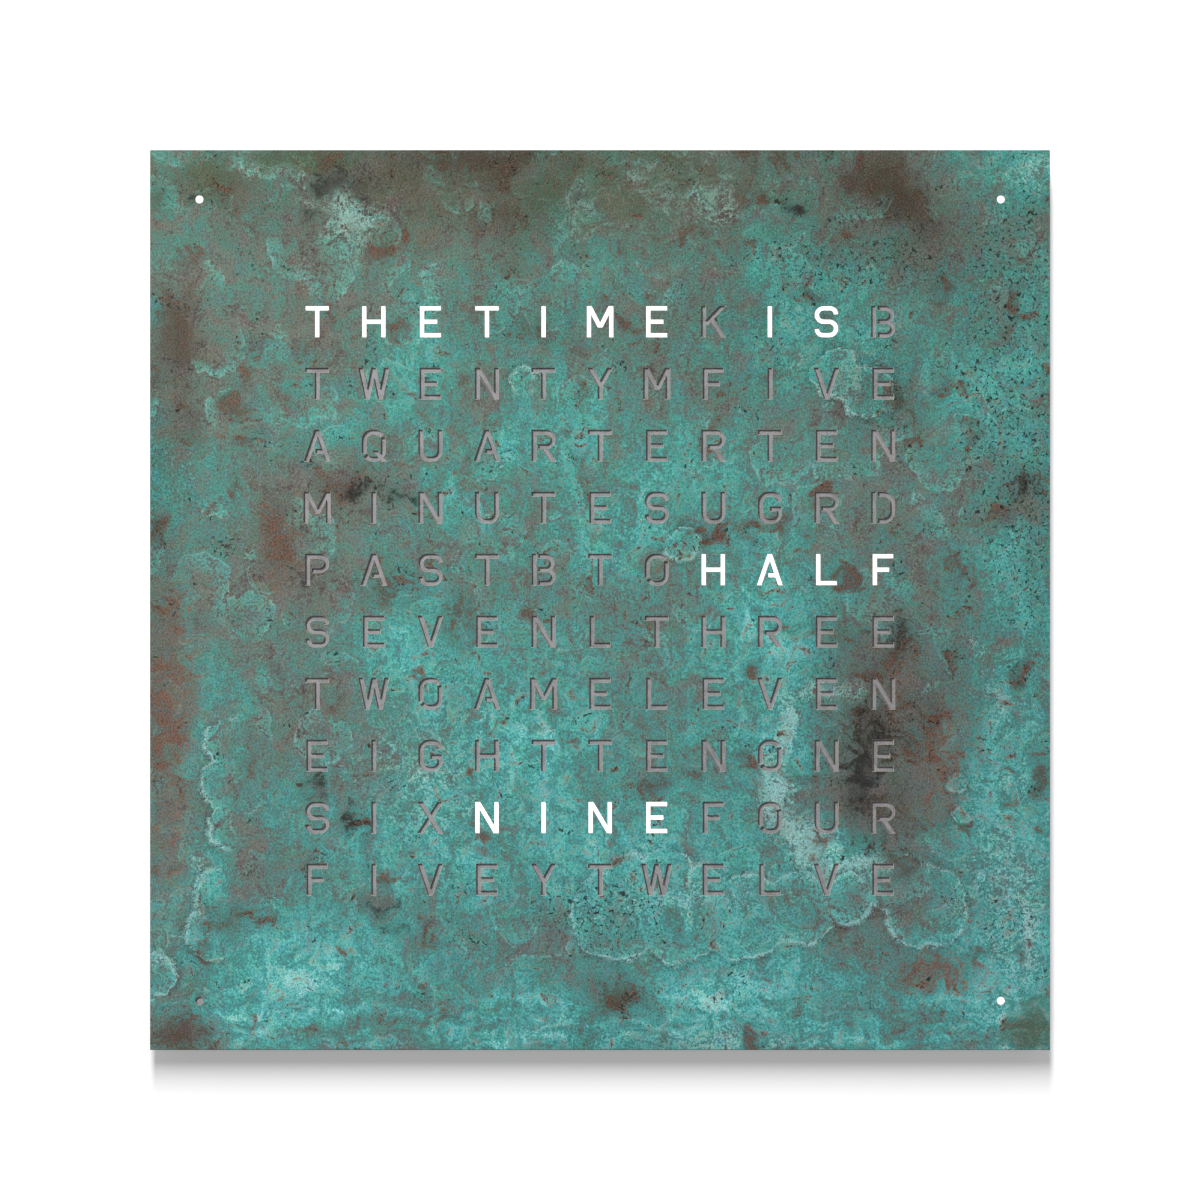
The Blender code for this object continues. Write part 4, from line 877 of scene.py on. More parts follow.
@dataclass(frozen=True)
class Moulded:
    """Moulded or coated plastic, rubber or board: a colour that drifts a little, fine texture, some gloss."""

    name: str
    colour: Screen
    drift: Screen
    rough: float = 0.5
    texture: float = 0.5
    depth: float = 0.03
    coat: float = 0.0

    def material(self) -> bpy.types.Material:
        """Build the shader.

        Returns:
            The material.
        """
        graph = Graph(self.name)
        point = graph.place()
        broad = graph.noise(point, 60, 5, 0.62)
        fine = graph.noise(point, self.texture, 3, 0.6)
        mark = graph.noise(graph.stretched(point, (0.05, 1, 1)), 0.9, 3, 0.7).ramp(0.60, 0.74)
        tone = ((broad - 0.5) * 0.9 + (fine - 0.5) * 1.1 + 0.5 + mark * 0.3).ramp(0.2, 0.8)
        graph.set(Base_Color=graph.mixed(tone, shade(*self.colour), shade(*self.drift)))
        graph.set(Roughness=(broad * 0.16 + fine * 0.08 + (self.rough - 0.12)))
        graph.set(Coat_Weight=self.coat, Coat_Roughness=0.12)
        graph.relief(fine, self.depth)
        return graph.material


@dataclass(frozen=True)
class Plated:
    """Plated or bare metal: brushed or spangled, with faint scratches and dull spots."""

    name: str
    colour: Screen
    dull: Screen
    rough: float = 0.3
    brush: tuple[float, float, float] = (0.06, 1.0, 1.0)
    spangle: float = 0.0

    def material(self) -> bpy.types.Material:
        """Build the shader.

        Returns:
            The material.
        """
        graph = Graph(self.name)
        point = graph.place()
        lines = graph.noise(graph.stretched(point, self.brush), 0.25, 3, 0.7)
        stain = graph.noise(point, 9, 4, 0.6)
        crystal = graph.cells(graph.bent(point, 5, 1.4), 6, out="Color")
        tone = graph.part(crystal, "X")
        mix = (stain.ramp(0.42, 0.64) * 0.6 + (tone - 0.5) * self.spangle + 0.15).least(1.0)
        graph.set(Base_Color=graph.mixed(mix, shade(*self.colour), shade(*self.dull)), Metallic=1.0)
        rough = lines * 0.22 + stain * 0.14 + tone * (0.12 * self.spangle) + (self.rough - 0.18)
        graph.set(Roughness=rough)
        graph.relief(lines, 0.01, 0.5)
        return graph.material


@dataclass(frozen=True)
class CircuitBoard:
    """A circuit board: solder mask with traces and tinned pads, and parts of another finish past a depth."""

    name: str
    mask: Colour = shade(24, 82, 52)
    trace: Colour = shade(44, 118, 76)
    parts: Colour = shade(28, 28, 30)
    parts_from: float = 7.1
    parts_in_front: bool = True
    pitch: float = 2.54

    def material(self) -> bpy.types.Material:
        """Build the shader.

        Returns:
            The material.
        """
        graph = Graph(self.name)
        point = graph.place()
        side = 1 if self.parts_in_front else -1
        depth = graph.part(point, "Y") * -side
        is_part = depth.ramp(side * self.parts_from, side * self.parts_from + 0.06)
        run = graph.noise(graph.stretched(point, (1, 0, 0.22)), 3.2, 0, 0)
        rise = graph.noise(graph.stretched(point, (0.22, 0, 1)), 3.2, 0, 0)
        lines = abs(run - 0.5).ramp(0.05, 0.035).most(abs(rise - 0.5).ramp(0.05, 0.035))
        pad = graph.cells(point, self.pitch, 0.35).ramp(0.23, 0.17)
        pad = pad * graph.noise(point, 16, 1, 0.5).ramp(0.55, 0.60)
        colour = graph.mixed(lines * 0.8, self.mask, self.trace)
        colour = graph.mixed(pad, colour, shade(196, 196, 190))
        grime = graph.noise(point, 1.4, 2, 0.5)
        part_colour = graph.mixed(grime.ramp(0.4, 0.6) * 0.25, self.parts, shade(120, 120, 118))
        graph.set(Base_Color=graph.mixed(is_part, colour, part_colour))
        graph.set(Roughness=(grime * 0.2 + 0.3 + is_part * 0.1), Metallic=pad * (1 - is_part))
        graph.relief(lines * 0.5 + pad, 0.05)
        return graph.material


@dataclass(frozen=True)
class Ribbed:
    """Flat ribbon cable: round cores side by side."""

    name: str = "ribbon_grey"
    core: float = 1.27

    def material(self) -> bpy.types.Material:
        """Build the shader.

        Returns:
            The material.
        """
        graph = Graph(self.name)
        point = graph.place()
        turn = graph.part(point, "X") * (math.tau / self.core)
        rib = turn.math("COSINE") * 0.5 + 0.5
        soil = graph.noise(point, 5, 3, 0.6)
        colour = graph.mixed(soil.ramp(0.4, 0.65), shade(158, 160, 164), shade(136, 138, 142))
        # Painted shade: darker grey in the grooves between the cores.
        graph.set(Base_Color=graph.mixed((1 - rib).ramp(0.6, 1.0) * 0.5, colour, shade(96, 98, 102)))
        graph.set(Roughness=soil.ramp(0.3, 0.7, 0.45, 0.6))
        graph.relief(rib, 0.2)
        return graph.material


@dataclass(frozen=True)
class ClearRod:
    """Clear plastic rod with a ground end."""

    name: str = "clear_rod"

    def material(self) -> bpy.types.Material:
        """Build the shader.

        Returns:
            The material.
        """
        graph = Graph(self.name)
        ground = graph.noise(graph.place(), 0.3, 3, 0.6)
        graph.set(Base_Color=(0.86, 0.88, 0.9), IOR=1.49, Transmission_Weight=0.85)
        graph.set(Roughness=ground.ramp(0.3, 0.7, 0.06, 0.2))
        graph.relief(ground, 0.01)
        return graph.material


class Finishes:
    """Every finish on the clock, each made once."""

    def __init__(self) -> None:
        """Make the materials."""
        self.patina = Patina().material()
        self.cut = Moulded("cut_edge", (186, 172, 164), (150, 146, 138), 0.5, 0.9, 0.03).material()
        self.unlit = LetterSheet().material()
        self.lit = LitSheet().material()
        self.lacquer = Moulded("black_lacquer", (26, 26, 27), (33, 33, 34), 0.34, 2.4, 0.02, 0.35).material()
        self.rear = Moulded("rear_board", (38, 38, 39), (50, 49, 48), 0.62, 0.9, 0.05).material()
        self.carrier = Moulded("carrier_plastic", (36, 36, 38), (46, 46, 48), 0.5, 0.8, 0.03).material()
        self.grid = Moulded("grid_plastic", (206, 206, 202), (190, 190, 187), 0.55, 0.8, 0.03).material()
        self.black = Moulded("black_plastic", (28, 28, 30), (38, 38, 40), 0.42, 0.5, 0.02).material()
        self.button = Moulded("button_plastic", (34, 34, 36), (44, 44, 46), 0.36, 0.4, 0.02).material()
        self.white = Moulded("plunger_white", (214, 213, 208), (196, 195, 190), 0.4, 0.5, 0.01).material()
        self.rubber = Moulded("bumper_rubber", (46, 46, 47), (60, 59, 58), 0.78, 0.35, 0.04).material()
        self.lead_black = Moulded("lead_black", (30, 30, 31), (40, 40, 41), 0.45, 1.0, 0.01).material()
        self.lead_grey = Moulded("lead_grey", (118, 119, 122), (100, 101, 104), 0.5, 1.0, 0.01).material()
        self.keeper = Plated("keeper_steel", (186, 188, 190), (150, 150, 150), 0.32).material()
        self.nickel = Plated("magnet_nickel", (206, 202, 192), (178, 172, 160), 0.22, (1, 1, 1)).material()
        self.zinc = Plated("hanger_zinc", (188, 192, 198), (150, 154, 160), 0.38, (0.1, 1, 1), 0.5).material()
        self.screw = Plated("screw_black", (44, 44, 46), (62, 60, 58), 0.38, (1, 1, 1)).material()
        self.cell = Plated("cell_steel", (208, 208, 206), (182, 182, 180), 0.24).material()
        lamps = shade(226, 224, 214)
        self.lamps = CircuitBoard("lamp_board", parts=lamps, parts_from=7.02).material()
        self.corner = CircuitBoard("corner_board", shade(22, 74, 56), parts=lamps, parts_from=7.02).material()
        self.controller = CircuitBoard("controller_mask", parts_from=7.55, parts_in_front=False).material()
        keys = CircuitBoard("key_board", shade(24, 70, 58), parts_from=9.85, parts_in_front=False)
        self.keys = keys.material()
        self.ribbon = Ribbed().material()
        self.rod = ClearRod().material()
        self.phosphor = Moulded("lamp_phosphor", (232, 214, 96), (222, 200, 84), 0.4, 0.3, 0.01).material()

    def dress(self, node: str, material: bpy.types.Material) -> None:
        """Give a CAD node its finish.

        Args:
            node: The node's name.
            material: The finish.
        """
        piece = frame["nodes"][node]
        piece.data.materials.clear()
        piece.data.materials.append(material)


# Meshes


def placed(axis: Axis, across: float, up: float, along: float) -> Vector:
    """Find the place in the world of a point drawn square to an axis.

    Args:
        axis: The axis.
        across: How far right the point is drawn, in millimetres.
        up: How far up it is drawn.
        along: How far along the axis it lies.

    Returns:
        The point in metres.
    """
    if axis is Axis.DEPTH:
        return Vector((across, -along, up)) * MM
    return Vector((across, -up, along)) * MM


def circle(across: float, up: float, radius: float, count: int = 32) -> Outline:
    """Return the points of a circle."""
    turns = [math.tau * k / count for k in range(count)]
    return [(across + radius * math.cos(a), up + radius * math.sin(a)) for a in turns]


def rounded(across: float, up: float, width: float, height: float, radius: float, count: int = 6) -> Outline:
    """Draw a rectangle with round corners.

    Args:
        across: How far right its middle lies.
        up: How far up its middle lies.
        width: Its width.
        height: Its height.
        radius: The radius of its corners.
        count: How many segments a corner has.

    Returns:
        Its points.
    """
    points = []
    for quarter, (side_x, side_z) in enumerate(((1, 1), (-1, 1), (-1, -1), (1, -1))):
        centre_x = across + side_x * (width / 2 - radius)
        centre_z = up + side_z * (height / 2 - radius)
        for k in range(count + 1):
            angle = math.radians(90) * (quarter + k / count)
            points.append((centre_x + radius * math.cos(angle), centre_z + radius * math.sin(angle)))
    return points


class Shape:
    """A mesh in the making, which becomes one piece of the clock."""

    NEAR = 1e-5

    def __init__(self, name: str) -> None:
        """Start an empty mesh.

        Args:
            name: The piece's name.
        """
        self.name = name
        self.mesh = bmesh.new()

    def turned(self, axis: Axis, centre: Point, profile: Sequence[Point], count: int = 32) -> "Shape":
        """Add a solid of revolution.

        Args:
            axis: What it turns about.
            centre: Where its axis stands.
            profile: Its points, each a radius and a place along the axis.
            count: How many facets it has round.

        Returns:
            This shape.
        """
        rings = []
        for radius, along in profile:
            outline = circle(*centre, radius, count)
            rings.append([self.mesh.verts.new(placed(axis, x, z, along)) for x, z in outline])
        for lower, upper in zip(rings, rings[1:]):
            for k in range(count):
                after = (k + 1) % count
                self.mesh.faces.new((lower[k], lower[after], upper[after], upper[k]))
        self.mesh.faces.new(rings[0])
        self.mesh.faces.new(rings[-1])
        return self

    def stencil(self, layers: Sequence[tuple[Sequence[Outline], float]], back: float) -> "Shape":
        """Add a flat plate with cuts, whose rims slope between nested outlines.

        Args:
            layers: From the outside in, sets of outlines and the depth of the face at each one's edge. The
                first set bounds the plate, the last is cut through, and those between are where slopes end.
            back: The depth of the plate's back face.

        Returns:
            This shape.
        """
        points: list[Vector] = []
        faces: list[list[int]] = []
        owner: list[int] = []
        for number, (outlines, _) in enumerate(layers):
            for outline in outlines:
                faces.append(list(range(len(points), len(points) + len(outline))))
                points += [Vector(point) for point in anticlockwise(outline)]
                owner.append(number)
        made = delaunay_2d_cdt(points, [], faces, 0, self.NEAR)
        corners, triangles, sources = made[0], made[2], made[5]
        last = len(layers) - 1
        level = [last] * len(corners)
        kept = []
        for triangle, inputs in zip(triangles, sources):
            if not inputs:
                continue
            layer = max(owner[k] for k in inputs)
            if layer == last:
                continue
            kept.append(triangle)
            for k in triangle:
                level[k] = min(level[k], layer)
        for k in boundary(triangles, sources):
            level[k] = -1
        used = sorted({k for triangle in kept for k in triangle})
        depth = {k: self.rim_depth(level[k], layers) for k in used}
        front = {k: self.mesh.verts.new(placed(Axis.DEPTH, *corners[k], depth[k])) for k in used}
        rear = {k: self.mesh.verts.new(placed(Axis.DEPTH, *corners[k], back)) for k in used}
        rims: dict[tuple[int, int], None] = {}
        for triangle in kept:
            face = self.mesh.faces.new([front[k] for k in triangle])
            slopes = len({depth[k] for k in triangle}) > 1
            face.material_index = int(slopes and max(level[k] for k in triangle) > 0)
            self.mesh.faces.new([rear[k] for k in reversed(triangle)])
            for first, second in zip(triangle, triangle[1:] + triangle[:1]):
                if (second, first) in rims:
                    del rims[second, first]
                else:
                    rims[first, second] = None
        for first, second in rims:
            self.mesh.faces.new((front[second], front[first], rear[first], rear[second]))
        return self

    @staticmethod
    def rim_depth(level: int, layers: Sequence[tuple[Sequence[Outline], float]]) -> float:
        """Find how deep the front face lies at a corner of the mesh.

        Args:
            level: The outermost layer that the corner touches, -1 on the plate's edge.
            layers: The layers of the stencil.

        Returns:
            The depth.
        """
        if level < 0:
            return layers[0][1]
        return layers[min(level + 1, len(layers) - 1)][1]

    def piece(
        self,
        material: bpy.types.Material,
        body: str,
        slot: str,
        replaced: Iterable[str] = (),
        smooth: float | None = None,
    ) -> bpy.types.Object:
        """Finish the mesh and seat it on its body.

        Args:
            material: Its finish.
            body: The CAD body that it rides on.
            slot: Not used.
            replaced: The CAD nodes that it stands for.
            smooth: The angle in degrees under which faces shade smoothly.

        Returns:
            The piece.
        """
        bmesh.ops.recalc_face_normals(self.mesh, faces=self.mesh.faces)
        data = bpy.data.meshes.new(self.name)
        self.mesh.to_mesh(data)
        self.mesh.free()
        data.materials.append(material)
        if smooth is not None:
            data.shade_smooth()
            data.set_sharp_from_angle(angle=math.radians(smooth))
        made = bpy.data.objects.new(self.name, data)
        bpy.context.scene.collection.objects.link(made)
        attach(made, body)
        replaced = tuple(replaced)
        if replaced:
            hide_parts(*replaced)
        return made


def anticlockwise(outline: Outline) -> Outline:
    """Return an outline's points in anticlockwise order."""
    area = sum(a[0] * b[1] - b[0] * a[1] for a, b in zip(outline, outline[1:] + outline[:1]))
    return outline if area > 0 else outline[::-1]


def boundary(triangles: Sequence[Sequence[int]], sources: Sequence[Sequence[int]]) -> list[int]:
    """Find the corners on the outer edge of what the triangles cover.

    Args:
        triangles: The triangles, each as its corners' numbers.
        sources: The outlines that each triangle lies in, none for one outside.

    Returns:
        The corners' numbers, some of them twice.
    """
    edges: dict[tuple[int, int], int] = {}
    for triangle, inputs in zip(triangles, sources):
        if not inputs:
            continue
        corners = list(triangle)
        for pair in zip(corners, corners[1:] + corners[:1]):
            key = (min(pair), max(pair))
            edges[key] = edges.get(key, 0) + 1
    return [k for pair, count in edges.items() if count == 1 for k in pair]


# Lettering


@dataclass(frozen=True)
class Alphabet:
    """A plain stencil alphabet of one line width, drawn in millimetres round the middle of each letter."""

    height: float = 15.5
    stroke: float = 2.05
    width: float = 11.6
    radius: float = 4.0
    bridge: float = 1.3
    slant_half: float = 1.2
    widths: tuple[tuple[str, float], ...] = (
        ("I", 2.3),
        ("L", 10.2),
        ("E", 10.4),
        ("F", 10.2),
        ("M", 13.2),
        ("W", 15.4),
        ("A", 13.0),
        ("V", 12.6),
        ("X", 12.2),
        ("Y", 12.2),
        ("K", 11.8),
    )

    def lines(self, letter: str) -> list[tuple[float, float, float, float]]:
        """Look up a letter's straight lines.

        Args:
            letter: The letter.

        Returns:
            The lines, each from point to point in halves of the letter's width and height.
        """
        stem = (-1, -1, -1, 1)
        table = {
            "A": [(-1, -1, 0, 1), (1, -1, 0, 1), (-0.12, -0.42, 0.62, -0.42)],
            "B": [stem],
            "D": [stem],
            "E": [stem, (-1, 1, 1, 1), (-1, 0, 0.8, 0), (-1, -1, 1, -1)],
            "F": [stem, (-1, 1, 1, 1), (-1, 0, 0.75, 0)],
            "H": [stem, (1, -1, 1, 1), (-1, 0, 1, 0)],
            "I": [(0, -1, 0, 1)],
            "K": [stem, (-0.9, -0.22, 1, 1), (-0.3, 0.28, 1, -1)],
            "L": [stem, (-1, -1, 1, -1)],
            "M": [stem, (1, -1, 1, 1), (-1, 1, 0, -0.42), (1, 1, 0, -0.42)],
            "N": [stem, (1, -1, 1, 1), (-1, 1, 1, -1)],
            "P": [stem],
            "Q": [(0.15, -0.4, 1.12, -1)],
            "R": [stem, (0.05, -0.16, 1, -1)],
            "T": [(-1, 1, 1, 1), (0, -1, 0, 1)],
            "V": [(-1, 1, 0, -1), (1, 1, 0, -1)],
            "W": [(-1, 1, -0.5, -1), (0, 1, -0.5, -1), (0, 1, 0.5, -1), (1, 1, 0.5, -1)],
            "X": [(-1, -1, 1, 1), (-1, 1, 1, -1)],
            "Y": [(-1, 1, 0, -0.14), (1, 1, 0, -0.14), (0, -1, 0, -0.05)],
        }
        return table.get(letter, [])

    def curves(self, letter: str, x: float, z: float) -> list[tuple[Outline, float]]:
        """Return a letter's bent lines, each as its corners and their radius.

        Args:
            letter: The letter.
            x: Half its width, measured to the middle of the stroke.
            z: Half its height, measured so.

        Returns:
            The bent lines.
        """
        inner = -x + self.stroke / 2 + self.bridge
        edge = -x - self.stroke / 2
        middle = -0.08 * z
        half = (z - middle) / 2
        snake = [(x, 0.55 * z), (x, z), (-x, z), (-x, 0), (x, 0), (x, -z), (-x, -z), (-x, -0.55 * z)]
        table = {
            "B": [
                ([(inner, z), (x - 0.6, z), (x - 0.6, 0), (inner, 0)], z / 2),
                ([(inner, 0), (x, 0), (x, -z), (inner, -z)], z / 2),
            ],
            "D": [([(inner, z), (x, z), (x, -z), (inner, -z)], self.radius * 1.25)],
            "G": [([(x, 0.5 * z), (x, z), (-x, z), (-x, -z), (x, -z), (x, -0.1 * z)], self.radius)],
            "P": [([(edge, z), (x, z), (x, middle), (inner, middle)], half)],
            "R": [([(edge, z), (x, z), (x, middle), (inner, middle)], half)],
            "S": [(snake, z / 2)],
            "U": [([(-x, z + self.stroke / 2), (-x, -z), (x, -z), (x, z + self.stroke / 2)], self.radius)],
        }
        return table.get(letter, [])

    def bent(self, corners: Outline, radius: float, count: int = 7) -> Outline:
        """Return a line whose corners are rounded.

        Args:
            corners: Its corners, the two ends among them.
            radius: The radius of each corner, cut down where a side is too short for it.
            count: How many segments a corner has.

        Returns:
            The points.
        """
        points = [corners[0]]
        for before, corner, after in zip(corners, corners[1:], corners[2:]):
            here = Vector(corner)
            to_start = Vector(before) - here
            to_end = Vector(after) - here
            fit = min(radius, to_start.length / (1 if before == corners[0] else 2))
            fit = min(fit, to_end.length / (1 if after == corners[-1] else 2))
            start = to_start.normalized() * fit
            end = to_end.normalized() * fit
            centre = here + start + end
            for k in range(count + 1):
                turn = math.radians(90) * k / count
                offset = -end * math.cos(turn) - start * math.sin(turn)
                points.append(tuple(centre + offset))
        points.append(corners[-1])
        return points

    def ribbon(self, path: Outline, grow: float) -> Outline:
        """Return the outline of a line drawn along a path.

        Args:
            path: The middle of the line.
            grow: How much wider it is on each side, and longer at each end.

        Returns:
            The outline.
        """
        half = self.stroke / 2 + grow
        clean = [Vector(path[0])]
        for point in path[1:]:
            if (Vector(point) - clean[-1]).length > 0.02:
                clean.append(Vector(point))
        clean[0] = clean[0] + (clean[0] - clean[1]).normalized() * grow
        clean[-1] = clean[-1] + (clean[-1] - clean[-2]).normalized() * grow
        left, right = [], []
        for k, point in enumerate(clean):
            before = (point - clean[k - 1]).normalized() if k else None
            after = (clean[k + 1] - point).normalized() if k + 1 < len(clean) else None
            along = ((before or after) + (after or before)).normalized()
            square = Vector((-along.y, along.x))
            reach = half / max(0.5, abs(along.dot(before or after)))
            left.append(tuple(point + square * reach))
            right.append(tuple(point - square * reach))
        return left + right[::-1]

    def bar(self, start: Vector, end: Vector, grow: float) -> Outline:
        """Return the outline of a straight line, whose ends are cut level if it slants.

        Args:
            start: Its first point.
            end: Its last point.
            grow: How much wider it is on each side, and longer at each end.

        Returns:
            The outline.
        """
        along = (end - start).normalized()
        square = Vector((-along.y, along.x)) * (self.stroke / 2 + grow)
        slants = min(abs(along.x), abs(along.y)) > 0.01
        ends = []
        for point, away in ((start, -along), (end, along)):
            sides = [point + square, point - square]
            if slants:
                cut = point.y + math.copysign(grow, away.y)
                ends.append([side + along * ((cut - side.y) / along.y) for side in sides])
            else:
                ends.append([side + away * grow for side in sides])
        return [tuple(p) for p in (ends[0][0], ends[1][0], ends[1][1], ends[0][1])]

    def ring(self, x: float, z: float) -> list[Outline]:
        """Draw a letter O with a bridge at its upper right and lower left.

        Args:
            x: Half its width, measured to the middle of the stroke.
            z: Half its height, measured so.

        Returns:
            The middle lines of its two halves.
        """
        corners = [(x, 0), (x, z), (-x, z), (-x, -z), (x, -z), (x, 0)]
        loop = [Vector(point) for point in self.bent(corners, self.radius, 10)]
        reach = [0.0]
        for before, after in zip(loop, loop[1:]):
            reach.append(reach[-1] + (after - before).length)
        total = reach[-1]

        def at(place: float) -> Point:
            """Find a point of the loop.

            Args:
                place: How far round the loop it lies.

            Returns:
                The point.
            """
            place = place % total
            for k in range(len(loop) - 1):
                if reach[k + 1] >= place:
                    share = (place - reach[k]) / max(reach[k + 1] - reach[k], 1e-6)
                    return tuple(loop[k].lerp(loop[k + 1], share))
            return tuple(loop[-1])

        gap = (z - self.radius) + self.radius * 0.45
        halves = []
        for first in (gap, gap + total / 2):
            start = first + self.bridge / 2
            span = total / 2 - self.bridge
            halves.append([at(start + span * k / 40) for k in range(41)])
        return halves

    def outlines(self, letter: str, centre: Point, grow: float = 0.0) -> list[Outline]:
        """Return the outlines of one letter.

        Args:
            letter: The letter.
            centre: Its middle.
            grow: How much wider each line is than the stroke, on each side.

        Returns:
            The outlines, which may lap over each other.
        """
        width = dict(self.widths).get(letter, self.width)
        x = (width - self.stroke) / 2
        z = (self.height - self.stroke) / 2
        drawn = []
        for x1, z1, x2, z2 in self.lines(letter):
            wide, high = x, z
            if x1 != x2 and z1 != z2:
                wide = width / 2 - self.slant_half
            ends = []
            for across, up in ((x1, z1), (x2, z2)):
                point = Vector((across * wide, up * high))
                if z1 != z2 and abs(up) == 1:
                    point.y = math.copysign(self.height / 2, up)
                if z1 == z2 and abs(across) == 1:
                    point.x = math.copysign(width / 2, across)
                ends.append(point)
            drawn.append(self.bar(ends[0], ends[1], grow))
        for corners, radius in self.curves(letter, x, z):
            drawn.append(self.ribbon(self.bent(corners, radius), grow))
        if letter == "G":
            start, end = Vector((0.05 * x, -0.1 * z)), Vector((x + self.stroke / 2, -0.1 * z))
            drawn.append(self.bar(start, end, grow))
        if letter in "OQ":
            drawn += [self.ribbon(half, grow) for half in self.ring(x, z)]
        return [[(px + centre[0], pz + centre[1]) for px, pz in outline] for outline in drawn]


# The clock


@dataclass
class FrontCover:
    """The patina plate with its letters and minute dots, and what is bonded behind it."""

    finishes: Finishes
    alphabet: Alphabet = field(default_factory=Alphabet)
    half_side: float = 225.0
    front: float = 17.9
    back: float = 15.9
    edge_bevel: float = 0.3
    rim_bevel: float = 0.26
    pad_front: float = 16.75
    pad_root: float = 15.6
    pad_clearance: float = 0.06
    field_centre: Point = (0.0, -0.25)
    dot_radius: float = 1.9
    rows: tuple[str, ...] = (
        "THETIMEKISB",
        "TWENTYMFIVE",
        "AQUARTERTEN",
        "MINUTESUGRD",
        "PASTBTOHALF",
        "SEVENLTHREE",
        "TWOAMELEVEN",
        "EIGHTTENONE",
        "SIXNINEFOUR",
        "FIVEYTWELVE",
    )
    lit_letters: tuple[tuple[int, tuple[int, ...]], ...] = (
        (0, (0, 1, 2, 3, 4, 5, 6, 8, 9)),
        (4, (7, 8, 9, 10)),
        (8, (3, 4, 5, 6)),
    )
    dark_dots: tuple[str, ...] = ("bottom_left",)

    def letters(self, grow: float, lit: bool | None = None) -> list[Outline]:
        """Return the outlines of the letters.

        Args:
            grow: How much wider each line is than the stroke, on each side.
            lit: Whether only the lit or only the dark ones are wanted.

        Returns:
            The outlines.
        """
        lit_letters = dict(self.lit_letters)
        found = []
        for row, text in enumerate(self.rows):
            for column, letter in enumerate(text):
                if lit is None or (column in lit_letters.get(row, ())) == lit:
                    x = self.field_centre[0] + (column - (len(text) - 1) / 2) * COLUMN_PITCH
                    z = self.field_centre[1] + ((len(self.rows) - 1) / 2 - row) * ROW_PITCH
                    found += self.alphabet.outlines(letter, (x, z), grow)
        return found

    def dots(self, grow: float, lit: bool | None = None) -> list[Outline]:
        """Return the outlines of the minute dots.

        Args:
            grow: How much is added to their radius.
            lit: Whether only the lit or only the dark ones are wanted.

        Returns:
            The outlines.
        """
        found = []
        for corner in CORNERS:
            if lit is None or (corner not in self.dark_dots) == lit:
                sign_x, sign_z = corner_signs(corner)
                found.append(circle(sign_x * DOT_OUT, sign_z * DOT_OUT, self.dot_radius + grow, 32))
        return found

    def square(self, half: float) -> Outline:
        """Return the corners of a square of this half side."""
        return [(-half, -half), (half, -half), (half, half), (-half, half)]

    def build(self) -> None:
        """Build the plate and its letter pads, and dress the sheet and keepers behind it."""
        layers = (
            ([self.square(self.half_side)], self.front - self.edge_bevel),
            ([self.square(self.half_side - self.edge_bevel)], self.front),
            (self.letters(self.rim_bevel) + self.dots(self.rim_bevel), self.front),
            (self.letters(0.0) + self.dots(0.0), self.front - self.rim_bevel),
        )
        plate = Shape("patina_plate").stencil(layers, self.back)
        made = plate.piece(self.finishes.patina, "cover", "patina_copper", ["front_cover"])
        made.data.materials.append(self.finishes.cut)
        LOG.info("front plate with %d letters", sum(len(row) for row in self.rows))
        self.pads("unlit_letter_pads", self.finishes.unlit, False)
        self.pads("lit_letter_pads", self.finishes.lit, True)
        self.finishes.dress("letter_diffuser", self.finishes.unlit)
        for side in SIDES:
            self.finishes.dress(f"keeper_strip_{side}", self.finishes.keeper)

    def pads(self, name: str, material: bpy.types.Material, lit: bool) -> None:
        """Build the opal pads that stand in the letters and dots.

        Args:
            name: The piece's name.
            material: Its finish.
            lit: Whether it is the lit or the dark set.
        """
        outlines = self.letters(-self.pad_clearance, lit) + self.dots(-self.pad_clearance, lit)
        layers = ((outlines, self.pad_front), (outlines, self.pad_front), ([], self.pad_front))
        Shape(name).stencil(layers, self.pad_root).piece(material, "cover", "opal_sheet")
        LOG.info("%s", name)


@dataclass
class Housing:
    """The mitred rails and the magnets in them."""

    finishes: Finishes

    def build(self) -> None:
        """Dress the rails and magnets."""
        for side in SIDES:
            self.finishes.dress(f"rail_{side}", self.finishes.lacquer)
            for number in (1, 2):
                self.finishes.dress(f"magnet_{side}_{number}", self.finishes.nickel)
        LOG.info("rails and magnets")


@dataclass
class LightEngine:
    """Carrier panel, light grid, lamp boards and their lenses."""

    finishes: Finishes
    columns: int = 11
    rows: int = 10
    lamp_front: float = 8.6
    lens_radius: float = 1.1
    lens_lift: float = 0.02
    lens_bevel: float = 0.04
    lens_height: float = 0.12

    def build(self) -> None:
        """Dress the panel, grid and boards, and add the lamps' lenses."""
        self.finishes.dress("carrier_panel", self.finishes.carrier)
        self.finishes.dress("light_grid", self.finishes.grid)
        self.finishes.dress("led_board", self.finishes.lamps)
        places = []
        for column in range(self.columns):
            x = (column - (self.columns - 1) / 2) * COLUMN_PITCH
            places += [(x, (row - (self.rows - 1) / 2) * ROW_PITCH) for row in range(self.rows)]
        for corner in CORNERS:
            self.finishes.dress(f"corner_light_{corner}", self.finishes.corner)
            sign_x, sign_z = corner_signs(corner)
            places.append((sign_x * DOT_OUT, sign_z * DOT_OUT))
        lenses = Shape("lamp_lenses")
        low, top = self.lamp_front + self.lens_lift, self.lamp_front + self.lens_height
        radius = self.lens_radius
        profile = [(radius, low), (radius, top - self.lens_bevel), (radius * 0.8, top)]
        for place in places:
            lenses.turned(Axis.DEPTH, place, profile, 14)
        lenses.piece(self.finishes.phosphor, "housing", "circuit_board", smooth=40)
        LOG.info("light engine with %d lamps", len(places))


